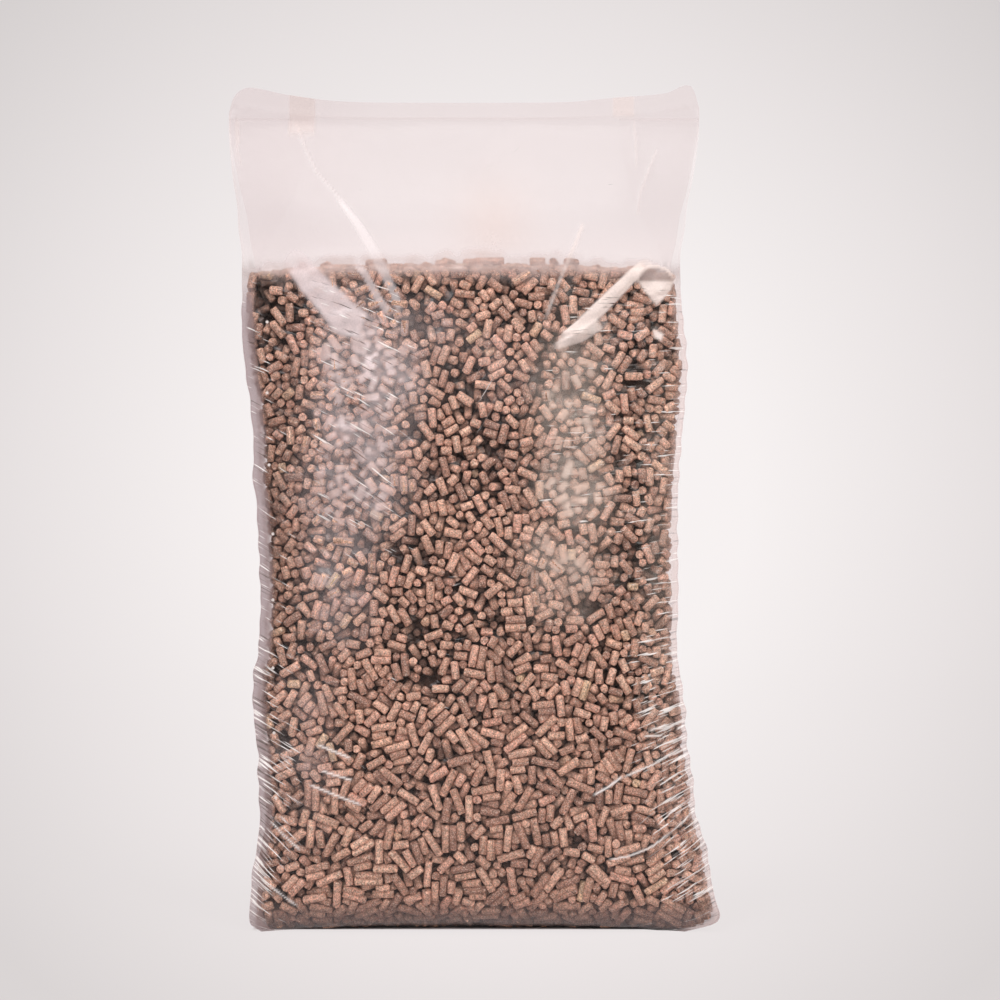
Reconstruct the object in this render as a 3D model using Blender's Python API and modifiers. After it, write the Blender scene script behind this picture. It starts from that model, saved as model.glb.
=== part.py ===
"""A clear side-gusset film bag of litter pellets, standing upright on its base.

Metres, +Z up. The origin is on the floor under the middle of the bag, and the front faces -Y.
The film is one piece: a gusseted tube, open inside, welded flat along the top. The settled
pellets are one solid, and the topmost pellets lie on it as pieces of their own.
"""

import math
import random

import bmesh
import bpy
from mathutils import Matrix, Vector
from mathutils.bvhtree import BVHTree

# Bag sizes
FLAT_WIDTH = 0.340  # across the welded top, where the bag is flat
FILLED_WIDTH = 0.294  # across the narrowest part of the filled bag
FILLED_DEPTH = 0.140  # front to back at half height
FILL_HEIGHT = 0.464  # floor to the line where the pellets meet the film
HEAD_HEIGHT = 0.1153  # from that line up to the lower side of the top weld
FIN_HEIGHT = 0.0115  # from there up to the film's cut edge, where it is lowest
WELD_SHIFT = 0.003  # how far the weld's middle lies to the left of the bag's
GUSSET_FOLD = 0.059  # how far each gusset's pleat reaches in at the weld

# Film
FILM_THICKNESS = 0.00015
LAYER_GAP = 0.0003  # air left between two layers that lie together
WELD_THICKNESS = 0.0006  # four layers melted together
WELD_BEAD_HEIGHT = 0.0024
FOLD_HEIGHT = 0.0035  # how proud the two slanting folds of the front stand

# Air vents, pricked in a line beside the left edge, through the front and the back
VENT_DIAMETER = 0.0016
VENT_PITCH = 0.0476
VENT_COUNT = 8
FIRST_VENT_HEIGHT = 0.0925
VENT_INSET = 0.012  # from the bag's left edge
VENT_PIN_LENGTH = 0.0064  # enough to go through one panel where it slopes

# Pellets
PELLET_DIAMETER = 0.006
SHORTEST_PELLET = 0.009
LONGEST_PELLET = 0.021
WORN_EDGE = 0.0005  # how far a pellet's end edge is worn back
LOOSE_COLUMNS = 8  # the loose pellets lie one in each cell of a grid over the others
LOOSE_ROWS = 4
FIT_GAP = 0.0005  # between the film and the pellets that press on it
REST_GAP = 0.0003  # between a piece and what it lies on
EDGE_ROOM = 0.006  # empty film beside the pellets at the bag's four upright edges
LUMP_DEPTH = 0.0065  # how deep one looks between the outermost pellets
LUMP_WIDTH = 0.020  # of a clump of them
HEAP_RISE = 0.010  # how much higher the pellets lie in the middle of the bag

# The filled part of the bag, from the floor (0) to the top of the pellets (1).
# Half widths are shares of half the filled width, depths are shares of half the filled depth.
LEFT_EDGE = (
    (0.0, 0.985), (0.013, 1.038), (0.050, 1.034), (0.105, 1.020), (0.150, 0.993), (0.23, 0.997),
    (0.286, 1.004), (0.34, 1.024), (0.395, 1.018), (0.43, 0.998), (0.50, 0.988), (0.58, 0.997),
    (0.65, 1.008), (0.685, 1.024), (0.74, 1.022), (0.793, 1.036), (0.85, 1.060), (0.90, 1.077), (1.0, 1.078),
)
RIGHT_EDGE = (
    (0.0, 1.040), (0.014, 1.188), (0.040, 1.195), (0.068, 1.170), (0.105, 1.155), (0.141, 1.132),
    (0.177, 1.092), (0.231, 1.078), (0.286, 1.050), (0.34, 1.040), (0.395, 1.015), (0.43, 1.001),
    (0.50, 1.008), (0.65, 1.006), (0.74, 1.023), (0.793, 1.039), (0.85, 1.053), (0.90, 1.043),
    (0.95, 1.025), (1.0, 1.018),
)
MIDDLE_DEPTH = (
    (0.0, 0.36), (0.006, 0.52), (0.018, 0.66), (0.034, 0.77), (0.060, 0.87), (0.10, 0.945),
    (0.20, 1.010), (0.35, 1.030), (0.50, 1.020), (0.70, 0.990), (0.88, 0.960), (1.0, 0.920),
)
EDGE_DEPTH = (
    (0.0, 0.68), (0.018, 0.72), (0.060, 0.75), (0.20, 0.74), (0.50, 0.72), (0.80, 0.70), (1.0, 0.68),
)
SIDE_TUCK = ((0.0, 0.11), (0.034, 0.075), (0.10, 0.045), (0.50, 0.036), (0.90, 0.036), (1.0, 0.045))

# The empty head of the bag, from the top of the pellets (0) to the weld (1).
# Widening runs from the filled width to the flat one, the depths close to nothing.
HEAD_WIDENING = (
    (0.0, 0.0), (0.12, 0.02), (0.27, 0.22), (0.42, 0.34), (0.58, 0.60), (0.74, 0.80), (0.91, 0.97), (1.0, 1.0),
)
HEAD_DEPTH = ((0.0, 1.0), (0.15, 0.94), (0.35, 0.76), (0.6, 0.46), (0.85, 0.16), (1.0, 0.0))
HEAD_PLEAT = ((0.0, 0.0), (0.15, 0.10), (0.35, 0.40), (0.6, 0.74), (0.85, 0.94), (1.0, 1.0))

# The slanting folds of the front run from the pleats' ends at the weld down and inwards.
# Places are shares of the half width.
FOLD_PLACE_HEAD = ((0.0, 0.41), (0.3, 0.52), (0.6, 0.63), (1.0, 0.74))
FOLD_PLACE_BODY = ((0.0, 0.34), (0.85, 0.34), (1.0, 0.41))
FOLD_FADE_BODY = ((0.0, 0.0), (0.86, 0.0), (1.0, 1.0))
FOLD_FADE_HEAD = ((0.0, 1.0), (0.6, 0.7), (1.0, 0.0))

# The cut edge above the weld: shares of the half flat width, and heights over the weld as shares
# of FIN_HEIGHT
TOP_EDGE = (
    (-1.0, 0.30), (-0.985, 1.17), (-0.95, 1.78), (-0.90, 1.94), (-0.76, 1.52), (-0.53, 1.09),
    (-0.2, 1.0), (0.2, 1.0), (0.45, 1.05), (0.63, 1.30), (0.86, 1.61), (0.94, 2.09),
    (0.975, 1.87), (1.0, 0.65),
)

# How finely the shapes are cut up
BODY_LEVELS = (
    0.0, 0.006, 0.017, 0.034, 0.060, 0.10, 0.15, 0.21, 0.29, 0.37, 0.45,
    0.53, 0.61, 0.69, 0.77, 0.83, 0.89, 0.95, 1.0,
)
HEAD_LEVELS = (0.14, 0.28, 0.42, 0.57, 0.72, 0.87, 1.0)
PANEL_STEPS = 4  # between an edge and a fold, and between a fold and the middle
GUSSET_STEPS = 4  # between an edge and the pleat's inner end
FILL_COLUMNS = 96
FILL_STEPS = 3  # rings of pellets for each ring of film
CAP_STEPS = 5
OUTLINE_FINENESS = 12  # points of the pellets' outline for each of its columns
CORNER_POWER = 7.0  # how square the body of pellets is
BULGE_POWER = 2.6  # how flat the panels are
GUSSET_POWER = 0.8  # how round the gussets are
TEST_STEPS = 8  # samples of a pellet from its middle to an end, or to a side
TINY = 1e-9


def clear_scene():
    for obj in list(bpy.data.objects):
        bpy.data.objects.remove(obj, do_unlink=True)


def new_collection(name):
    collection = bpy.data.collections.new(name)
    bpy.context.scene.collection.children.link(collection)
    return collection


def finish_of(name, colour, roughness, alpha=1.0):
    material = bpy.data.materials.new(name)
    material.use_nodes = True
    shader = material.node_tree.nodes["Principled BSDF"]
    shader.inputs["Base Color"].default_value = (*colour, 1.0)
    shader.inputs["Roughness"].default_value = roughness
    shader.inputs["Metallic"].default_value = 0.0
    shader.inputs["Alpha"].default_value = alpha
    return material


def add_object(name, mesh, material, collection):
    obj = bpy.data.objects.new(name, mesh)
    obj.data.materials.append(material)
    collection.objects.link(obj)
    return obj


def smooth_value(table, at):
    """The value at a place on a smooth curve through the table's (place, value) pairs."""
    if at <= table[0][0]:
        return table[0][1]
    if at >= table[-1][0]:
        return table[-1][1]
    slopes = []
    for index in range(len(table)):
        before = table[max(index - 1, 0)]
        after = table[min(index + 1, len(table) - 1)]
        slopes.append((after[1] - before[1]) / (after[0] - before[0]))
    index = max(i for i in range(len(table) - 1) if table[i][0] <= at)
    (start, low), (end, high) = table[index], table[index + 1]
    span = end - start
    t = (at - start) / span
    return (
        low * (1 + 2 * t) * (1 - t) ** 2
        + high * t * t * (3 - 2 * t)
        + span * t * (1 - t) * (slopes[index] * (1 - t) - slopes[index + 1] * t)
    )


def body_section(share):
    """The film's section where the bag is filled, as named sizes."""
    half_width, half_depth = FILLED_WIDTH / 2, FILLED_DEPTH / 2
    return {
        "height": share * FILL_HEIGHT,
        "left": half_width * smooth_value(LEFT_EDGE, share),
        "right": half_width * smooth_value(RIGHT_EDGE, share),
        "middle": half_depth * smooth_value(MIDDLE_DEPTH, share),
        "edge": half_depth * smooth_value(EDGE_DEPTH, share),
        "tuck": half_width * smooth_value(SIDE_TUCK, share),
        "fold_place": smooth_value(FOLD_PLACE_BODY, share),
        "fold_rise": FOLD_HEIGHT * smooth_value(FOLD_FADE_BODY, share),
    }


def head_section(share):
    """The film's section above the pellets, where the gussets fold in and the panels close."""
    start = body_section(1.0)
    widening = smooth_value(HEAD_WIDENING, share)
    closing = smooth_value(HEAD_DEPTH, share)
    closed = weld_half_depth()
    weld_left, weld_right = FLAT_WIDTH / 2 + WELD_SHIFT, FLAT_WIDTH / 2 - WELD_SHIFT
    return {
        "height": FILL_HEIGHT + share * HEAD_HEIGHT,
        "left": start["left"] + widening * (weld_left - start["left"]),
        "right": start["right"] + widening * (weld_right - start["right"]),
        "middle": closed + closing * (start["middle"] - closed),
        "edge": closed + closing * (start["edge"] - closed),
        "tuck": start["tuck"] + smooth_value(HEAD_PLEAT, share) * (GUSSET_FOLD - start["tuck"]),
        "fold_place": smooth_value(FOLD_PLACE_HEAD, share),
        "fold_rise": FOLD_HEIGHT * smooth_value(FOLD_FADE_HEAD, share),
    }


def weld_height():
    """From the floor to the lower side of the top weld."""
    return FILL_HEIGHT + HEAD_HEIGHT


def edge_width():
    """Two layers and the air between them, where a panel turns into a gusset."""
    return 2 * FILM_THICKNESS + LAYER_GAP


def weld_half_depth():
    """Half of what the folded bag measures, front to back, just under the weld."""
    return edge_width() + LAYER_GAP


def film_sections():
    return [body_section(share) for share in BODY_LEVELS] + [head_section(share) for share in HEAD_LEVELS]


def blended(low, high, share):
    return {name: low[name] + share * (high[name] - low[name]) for name in low}


def panel_depth(section, x):
    """How far the front or back panel stands from the middle plane, without its folds."""
    t = abs(x) / (section["right"] if x > 0 else section["left"])
    return section["edge"] + (section["middle"] - section["edge"]) * (1 - min(t, 1.0) ** BULGE_POWER)


def panel_row(section):
    """Points of the front panel from the left edge to the right one, as (x, depth)."""
    row = []
    fold = section["fold_place"]
    places = [-1 + (1 - fold) * i / PANEL_STEPS for i in range(PANEL_STEPS)]
    places += [-fold * (1 - i / PANEL_STEPS) for i in range(PANEL_STEPS)]
    places += [-place for place in reversed(places)]
    places.insert(2 * PANEL_STEPS, 0.0)
    for place in places:
        x = place * (section["right"] if place > 0 else section["left"])
        rise = section["fold_rise"] if abs(abs(place) - fold) < TINY else 0.0
        row.append((x, panel_depth(section, x) + rise))
    return row


def gusset_row(section, half_width):
    """Points of half a gusset from the upright edge to the pleat's inner end, as (x, depth)."""
    mouth = section["edge"] - edge_width()
    end = max(LAYER_GAP, mouth / (2 * GUSSET_STEPS + 1))
    row = []
    for i in range(GUSSET_STEPS + 1):
        share = i / GUSSET_STEPS
        row.append((half_width - section["tuck"] * share ** GUSSET_POWER, mouth + (end - mouth) * share))
    return row


def film_ring(section):
    """The film's closed outline at one height, anticlockwise from the front left edge."""
    front = panel_row(section)
    right = gusset_row(section, section["right"])
    left = gusset_row(section, section["left"])
    outline = [(x, -depth) for x, depth in front]
    outline += [(x, -depth) for x, depth in right]
    outline += [(x, depth) for x, depth in reversed(right)]
    outline += [(x, panel_depth(section, x)) for x, _ in reversed(front)]
    outline += [(-x, depth) for x, depth in left]
    outline += [(-x, -depth) for x, depth in reversed(left)]
    return [Vector((x, y, section["height"])) for x, y in outline]


def loft(name, rings, close_bottom, close_top):
    """A skin over rings of points, all with the same number of points."""
    builder = bmesh.new()
    rows = [[builder.verts.new(point) for point in ring] for ring in rings]
    count = len(rows[0])
    for lower, upper in zip(rows, rows[1:]):
        for i in range(count):
            after = (i + 1) % count
            builder.faces.new((lower[i], lower[after], upper[after], upper[i]))
    if close_bottom:
        builder.faces.new(list(reversed(rows[0])))
    if close_top:
        builder.faces.new(rows[-1])
    mesh = bpy.data.meshes.new(name)
    builder.to_mesh(mesh)
    builder.free()
    return mesh


def weld_band(material, collection):
    """The flat film above the weld, cut along its top edge."""
    half = FLAT_WIDTH / 2
    corners = [(half * place - WELD_SHIFT, weld_height() + FIN_HEIGHT * rise) for place, rise in TOP_EDGE]
    start = weld_height() + WELD_BEAD_HEIGHT / 2
    corners += [(half - WELD_SHIFT, start), (-half - WELD_SHIFT, start)]
    curve = bpy.data.curves.new("weld_band", "CURVE")
    curve.dimensions = "2D"
    curve.fill_mode = "BOTH"
    curve.extrude = WELD_THICKNESS / 2
    spline = curve.splines.new("POLY")
    spline.points.add(len(corners) - 1)
    for point, (x, z) in zip(spline.points, corners):
        point.co = (x, z, 0.0, 1.0)
    spline.use_cyclic_u = True
    flat = bpy.data.objects.new("weld_band_outline", curve)
    collection.objects.link(flat)
    flat.rotation_euler = (math.pi / 2, 0, 0)
    bpy.context.view_layer.update()
    graph = bpy.context.evaluated_depsgraph_get()
    mesh = bpy.data.meshes.new_from_object(flat.evaluated_get(graph))
    builder = bmesh.new()
    builder.from_mesh(mesh)
    bmesh.ops.remove_doubles(builder, verts=builder.verts, dist=LAYER_GAP / 10)
    bmesh.ops.recalc_face_normals(builder, faces=builder.faces)
    builder.to_mesh(mesh)
    builder.free()
    band = add_object("weld_band", mesh, material, collection)
    band.matrix_world = flat.matrix_world
    bpy.data.objects.remove(flat)
    return band


def weld_bead(material, collection):
    """The bar of melted film along the weld. It holds the ends of all four layers."""
    middle = (-WELD_SHIFT, 0, weld_height() + WELD_BEAD_HEIGHT / 4)
    bpy.ops.mesh.primitive_cube_add(size=1, location=middle)
    bead = bpy.context.object
    bead.name = "weld_bead"
    bead.scale = (FLAT_WIDTH + LAYER_GAP, 2 * weld_half_depth() + LAYER_GAP, WELD_BEAD_HEIGHT)
    bpy.ops.object.transform_apply(location=False, rotation=False, scale=True)
    for other in list(bead.users_collection):
        other.objects.unlink(bead)
    collection.objects.link(bead)
    bead.data.materials.append(material)
    return bead


def vent_cutters(collection):
    """Pins through the front and the back, where the film is pricked."""
    builder = bmesh.new()
    for index in range(VENT_COUNT):
        height = FIRST_VENT_HEIGHT + index * VENT_PITCH
        section = section_at(height)
        x = -(section["left"] - VENT_INSET)
        for side in (-1, 1):
            place = Vector((x, side * panel_depth(section, x), height))
            turn = Matrix.Translation(place) @ Matrix.Rotation(math.pi / 2, 4, "X")
            bmesh.ops.create_cone(
                builder, cap_ends=True, segments=6, radius1=VENT_DIAMETER / 2, radius2=VENT_DIAMETER / 2,
                depth=VENT_PIN_LENGTH, matrix=turn,
            )
    mesh = bpy.data.meshes.new("vents")
    builder.to_mesh(mesh)
    builder.free()
    cutter = bpy.data.objects.new("vents", mesh)
    collection.objects.link(cutter)
    return cutter


def add_boolean(obj, other, operation):
    modifier = obj.modifiers.new(other.name, "BOOLEAN")
    modifier.operation = operation
    modifier.solver = "EXACT"
    modifier.object = other
    other.hide_render = True
    other.display_type = "WIRE"


def film_bag(material, parts, helpers):
    rings = [film_ring(section) for section in film_sections()]
    bag = add_object("film_bag", loft("film_bag", rings, True, False), material, parts)
    shell = bag.modifiers.new("film", "SOLIDIFY")
    shell.thickness = FILM_THICKNESS
    shell.offset = -1
    shell.use_even_offset = True
    add_boolean(bag, weld_bead(material, helpers), "UNION")
    add_boolean(bag, weld_band(material, helpers), "UNION")
    add_boolean(bag, vent_cutters(helpers), "DIFFERENCE")
    return bag


def section_at(height):
    """The film's section at any height, on the straight lines between its rings."""
    sections = film_sections()
    for low, high in zip(sections, sections[1:]):
        if height <= high["height"]:
            return blended(low, high, (height - low["height"]) / (high["height"] - low["height"]))
    return sections[-1]


def evenly_spaced(points, count):
    """Points at equal steps along a closed outline."""
    closed = points + [points[0]]
    lengths = [0.0]
    for a, b in zip(closed, closed[1:]):
        lengths.append(lengths[-1] + (b - a).length)
    spaced = []
    index = 0
    for i in range(count):
        target = lengths[-1] * i / count
        while lengths[index + 1] < target:
            index += 1
        share = (target - lengths[index]) / (lengths[index + 1] - lengths[index])
        spaced.append(closed[index].lerp(closed[index + 1], share))
    return spaced


def fill_ring(section, height, scale=1.0):
    """The outline of the body of pellets, which follows the film but rounds off its corners."""
    wall = FILM_THICKNESS + FIT_GAP
    fine = OUTLINE_FINENESS * FILL_COLUMNS
    outline = []
    for i in range(fine):
        angle = 2 * math.pi * i / fine
        c, s = math.cos(angle), math.sin(angle)
        across = math.copysign(abs(c) ** (2 / CORNER_POWER), c)
        along = math.copysign(abs(s) ** (2 / CORNER_POWER), s)
        room = max(EDGE_ROOM, section["tuck"])
        x = across * ((section["right"] if across > 0 else section["left"]) - room - wall)
        y = along * (panel_depth(section, x) - wall)
        outline.append(Vector((x * scale, y * scale, height)))
    return evenly_spaced(outline, FILL_COLUMNS)


def litter_fill(material, collection):
    """The settled pellets as one body, with a lumpy skin where clumps of pellets would show."""
    rings = []
    sections = [body_section(share) for share in BODY_LEVELS]
    floor = FILM_THICKNESS + REST_GAP
    for step in range(CAP_STEPS, 0, -1):
        rings.append(fill_ring(sections[0], floor, 1 - step / (CAP_STEPS + 1)))
    rings.append(fill_ring(sections[0], floor))
    for low, high in zip(sections, sections[1:]):
        steps = FILL_STEPS if high["height"] - low["height"] > PELLET_DIAMETER else 1
        for step in range(1, steps + 1):
            section = blended(low, high, step / steps)
            rings.append(fill_ring(section, section["height"]))
    for step in range(1, CAP_STEPS + 1):
        scale = 1 - step / (CAP_STEPS + 1)
        rings.append(fill_ring(sections[-1], FILL_HEIGHT + HEAP_RISE * (1 - scale ** 2), scale))
    fill = add_object("litter_fill", loft("litter_fill", rings, True, True), material, collection)
    lumps = bpy.data.textures.new("lumps", "VORONOI")
    lumps.noise_scale = LUMP_WIDTH
    relief = fill.modifiers.new("lumps", "DISPLACE")
    relief.texture = lumps
    relief.texture_coords = "LOCAL"
    relief.mid_level = 0.0
    relief.strength = -LUMP_DEPTH
    return fill


def resting_height(tree, centre, along, length, radius):
    """The height at which a level pellet just clears the body of pellets under it."""
    across = Vector((-along.y, along.x, 0))
    above = Vector((0, 0, weld_height()))
    highest = 0.0
    shares = [i / TEST_STEPS for i in range(-TEST_STEPS, TEST_STEPS + 1)]
    for i in shares:
        for j in shares:
            aside = radius * j
            point = centre + along * (length / 2 * i) + across * aside
            hit = tree.ray_cast(point + above, Vector((0, 0, -1)))[0]
            if hit is not None:
                highest = max(highest, hit.z + math.sqrt(max(radius ** 2 - aside ** 2, 0.0)))
    return highest + REST_GAP


def loose_places():
    """Centres, directions and lengths of the loose pellets, each inside its own cell of a grid."""
    draw = random.Random(11)
    top = body_section(1.0)
    rim = EDGE_ROOM + PELLET_DIAMETER
    wide = (top["left"] + top["right"] - 2 * rim) / LOOSE_COLUMNS
    deep = 2 * (top["edge"] - rim) / LOOSE_ROWS
    places = []
    for row in range(LOOSE_ROWS):
        for column in range(LOOSE_COLUMNS):
            length = draw.uniform(SHORTEST_PELLET, LONGEST_PELLET)
            heading = draw.uniform(0, math.pi)
            along = Vector((math.cos(heading), math.sin(heading), 0))
            reach_x = length * abs(along.x) / 2 + PELLET_DIAMETER * abs(along.y) / 2 + REST_GAP
            reach_y = length * abs(along.y) / 2 + PELLET_DIAMETER * abs(along.x) / 2 + REST_GAP
            x = -top["left"] + rim + (column + 0.5) * wide + draw.uniform(-1, 1) * (wide / 2 - reach_x)
            y = -top["edge"] + rim + (row + 0.5) * deep + draw.uniform(-1, 1) * (deep / 2 - reach_y)
            places.append((Vector((x, y, 0)), along, length))
    return places


def loose_pellets(fill, material, collection):
    """The topmost pellets, lying level on the others, clear of each other and of the film."""
    bpy.context.view_layer.update()
    tree = BVHTree.FromObject(fill, bpy.context.evaluated_depsgraph_get())
    radius = PELLET_DIAMETER / 2
    for number, (centre, along, length) in enumerate(loose_places(), 1):
        bpy.ops.mesh.primitive_cylinder_add(vertices=8, radius=radius, depth=length)
        pellet = bpy.context.object
        pellet.name = f"pellet_{number:02d}"
        pellet.data.name = pellet.name
        pellet.rotation_euler = along.to_track_quat("Z", "Y").to_euler()
        pellet.location = (centre.x, centre.y, resting_height(tree, centre, along, length, radius))
        worn_end = pellet.modifiers.new("worn_ends", "BEVEL")
        worn_end.width = WORN_EDGE
        worn_end.segments = 1
        worn_end.limit_method = "ANGLE"
        worn_end.angle_limit = math.radians(60)
        pellet.data.materials.append(material)
        for other in list(pellet.users_collection):
            other.objects.unlink(pellet)
        collection.objects.link(pellet)


def main():
    clear_scene()
    parts = new_collection("cat_litter_bag")
    helpers = new_collection("helpers")
    film = finish_of("clear_film", (0.93, 0.87, 0.86), 0.25, alpha=0.3)
    pellet = finish_of("pressed_wood", (0.36, 0.22, 0.16), 0.85)
    film_bag(film, parts, helpers)
    fill = litter_fill(pellet, parts)
    loose_pellets(fill, pellet, parts)


main()
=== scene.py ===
"""Looks of a clear gusseted film bag of pressed-wood litter pellets, standing on its base.

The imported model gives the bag's place and size. The film is made again as a fine skin that is
drawn onto the pellets behind it, and the litter as thousands of single pellets, packed by
pushing overlapping ones apart.
"""

import math
from itertools import product

import bpy
import numpy as np
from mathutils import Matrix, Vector
from mathutils.bvhtree import BVHTree


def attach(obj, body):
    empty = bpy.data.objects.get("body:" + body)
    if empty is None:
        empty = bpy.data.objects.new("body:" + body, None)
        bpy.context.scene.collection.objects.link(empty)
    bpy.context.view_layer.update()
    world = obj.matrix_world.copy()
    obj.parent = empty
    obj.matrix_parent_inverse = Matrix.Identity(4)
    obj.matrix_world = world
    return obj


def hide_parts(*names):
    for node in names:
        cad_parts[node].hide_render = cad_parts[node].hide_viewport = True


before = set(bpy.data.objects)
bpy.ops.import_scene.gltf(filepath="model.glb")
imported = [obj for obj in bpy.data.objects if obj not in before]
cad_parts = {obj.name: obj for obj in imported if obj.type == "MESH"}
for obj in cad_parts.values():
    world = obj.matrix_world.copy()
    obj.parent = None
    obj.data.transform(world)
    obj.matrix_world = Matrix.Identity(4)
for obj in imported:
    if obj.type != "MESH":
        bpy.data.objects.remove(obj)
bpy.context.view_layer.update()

# Bag sizes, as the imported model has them
FLAT_WIDTH = 0.340
FILLED_WIDTH = 0.294
FILLED_DEPTH = 0.140
FILL_HEIGHT = 0.464
HEAD_HEIGHT = 0.1153
FIN_HEIGHT = 0.0115
WELD_SHIFT = 0.003
GUSSET_FOLD = 0.059
WELD_HEIGHT = FILL_HEIGHT + HEAD_HEIGHT
CLOSED_DEPTH = 0.0009  # half of what the folded bag measures under the weld
MELTED_DEPTH = 0.0003  # half of it above the weld
SKIN = 0.00065  # film and fit gap, between the bag's outside and the pellets

# How far the film stands off the pellets at its two upright edges, from the floor to their top
LEFT_GAP = ((0.0, 0.0), (0.12, 0.0006), (0.30, 0.0028), (0.75, 0.0040), (0.90, 0.0012), (1.0, 0.0006))
RIGHT_GAP = (
    (0.0, 0.0), (0.05, 0.0), (0.20, 0.0002), (0.35, 0.0008), (0.50, 0.0014), (0.80, 0.0012), (1.0, 0.0006),
)

# Pellets
PELLET_RADIUS = 0.003
SHORTEST_PELLET = 0.0075
LONGEST_PELLET = 0.021
LONGEST_HIGH_UP = 0.0155
LONGEST_END_ON = 0.0125
WORN_EDGE = 0.0006
WORN_SHARE = 0.80  # of the radius that is left at a worn end

# Half widths and depths of the filled part, from the floor (0) to the top of the pellets (1),
# as shares of half the filled width and half the filled depth
LEFT_EDGE = (
    (0.0, 0.985), (0.013, 1.038), (0.050, 1.034), (0.105, 1.020), (0.150, 0.993), (0.23, 0.997),
    (0.286, 1.004), (0.34, 1.024), (0.395, 1.018), (0.43, 0.998), (0.50, 0.988), (0.58, 0.997),
    (0.65, 1.008), (0.685, 1.024), (0.74, 1.022), (0.793, 1.036), (0.85, 1.060), (0.90, 1.077), (1.0, 1.078),
)
RIGHT_EDGE = (
    (0.0, 1.040), (0.014, 1.188), (0.040, 1.195), (0.068, 1.170), (0.105, 1.155), (0.141, 1.132),
    (0.177, 1.092), (0.231, 1.078), (0.286, 1.050), (0.34, 1.040), (0.395, 1.015), (0.43, 1.001),
    (0.50, 1.008), (0.65, 1.006), (0.74, 1.023), (0.793, 1.039), (0.85, 1.053), (0.90, 1.043),
    (0.95, 1.025), (1.0, 1.018),
)
MIDDLE_DEPTH = (
    (0.0, 0.36), (0.006, 0.52), (0.018, 0.66), (0.034, 0.77), (0.060, 0.87), (0.10, 0.945),
    (0.20, 1.010), (0.35, 1.030), (0.50, 1.020), (0.70, 0.990), (0.88, 0.960), (1.0, 0.920),
)
EDGE_DEPTH = (
    (0.0, 0.68), (0.018, 0.72), (0.060, 0.75), (0.20, 0.74), (0.50, 0.72), (0.80, 0.70), (1.0, 0.68),
)
SIDE_TUCK = ((0.0, 0.11), (0.034, 0.075), (0.10, 0.045), (0.50, 0.036), (0.90, 0.036), (1.0, 0.045))

# The empty head, from the top of the pellets (0) to the weld (1)
HEAD_WIDENING = (
    (0.0, 0.0), (0.12, 0.02), (0.27, 0.22), (0.42, 0.34), (0.58, 0.60),
    (0.74, 0.80), (0.91, 0.97), (1.0, 1.0),
)
HEAD_DEPTH = (
    (0.0, 1.0), (0.15, 0.94), (0.35, 0.76), (0.6, 0.46), (0.85, 0.14),
    (0.94, 0.035), (0.98, 0.004), (1.0, 0.0),
)
HEAD_PLEAT = ((0.0, 0.0), (0.15, 0.10), (0.35, 0.40), (0.6, 0.74), (0.85, 0.94), (1.0, 1.0))

# The cut edge: shares of the half flat width, and heights over the weld as shares of FIN_HEIGHT
TOP_EDGE = (
    (-1.0, 0.30), (-0.985, 1.17), (-0.95, 1.78), (-0.90, 1.94), (-0.76, 1.52), (-0.53, 1.09),
    (-0.2, 1.0), (0.2, 1.0), (0.45, 1.05), (0.63, 1.30), (0.86, 1.61), (0.94, 2.09),
    (0.975, 1.87), (1.0, 0.65),
)
BULGE_POWER = 2.6
CORNER_POWER = 9.0
PACKED_CORNER_POWER = 24.0  # of the single pellets, which fill the corners better
GUSSET_POWER = 0.8

# Heap of pellets
HEAP_RISE = 0.010
SHELL = 0.0125  # depth of the layer that is made pellet by pellet
FLOOR_GAP = 0.00045
PELLETS = 11200
PUSHES = 90
PUSHES_FOR_PAIRS = 6  # after so many, the list of near pairs is made again
SEED = 7

# Camera, as the photograph has it
CAMERA_PLACE = (0.023, -1.707, 0.3036)
CAMERA_LENS = 85


def curve(table, at):
    """Values on a smooth curve through the table's (place, value) pairs."""
    places = np.array([place for place, _ in table])
    values = np.array([value for _, value in table])
    at = np.clip(at, places[0], places[-1])
    before = np.concatenate([[0], np.arange(len(places) - 1)])
    after = np.concatenate([np.arange(1, len(places)), [len(places) - 1]])
    slopes = (values[after] - values[before]) / (places[after] - places[before])
    index = np.clip(np.searchsorted(places, at, side="right") - 1, 0, len(places) - 2)
    span = places[index + 1] - places[index]
    t = (at - places[index]) / span
    return (
        values[index] * (1 + 2 * t) * (1 - t) ** 2
        + values[index + 1] * t * t * (3 - 2 * t)
        + span * t * (1 - t) * (slopes[index] * (1 - t) - slopes[index + 1] * t)
    )


def scallops(z, seed):
    """Small waves of an upright edge, where the film is gathered between pellets."""
    draw = np.random.default_rng(seed)
    total = np.zeros(np.shape(z))
    for _ in range(7):
        total = total + np.sin(z * draw.uniform(150, 420) + draw.uniform(0, 2 * np.pi))
    body = np.clip(z / 0.02, 0, 1) * np.clip((FILL_HEIGHT - z) / 0.03, 0, 1)
    return 0.00018 * total * body


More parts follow.
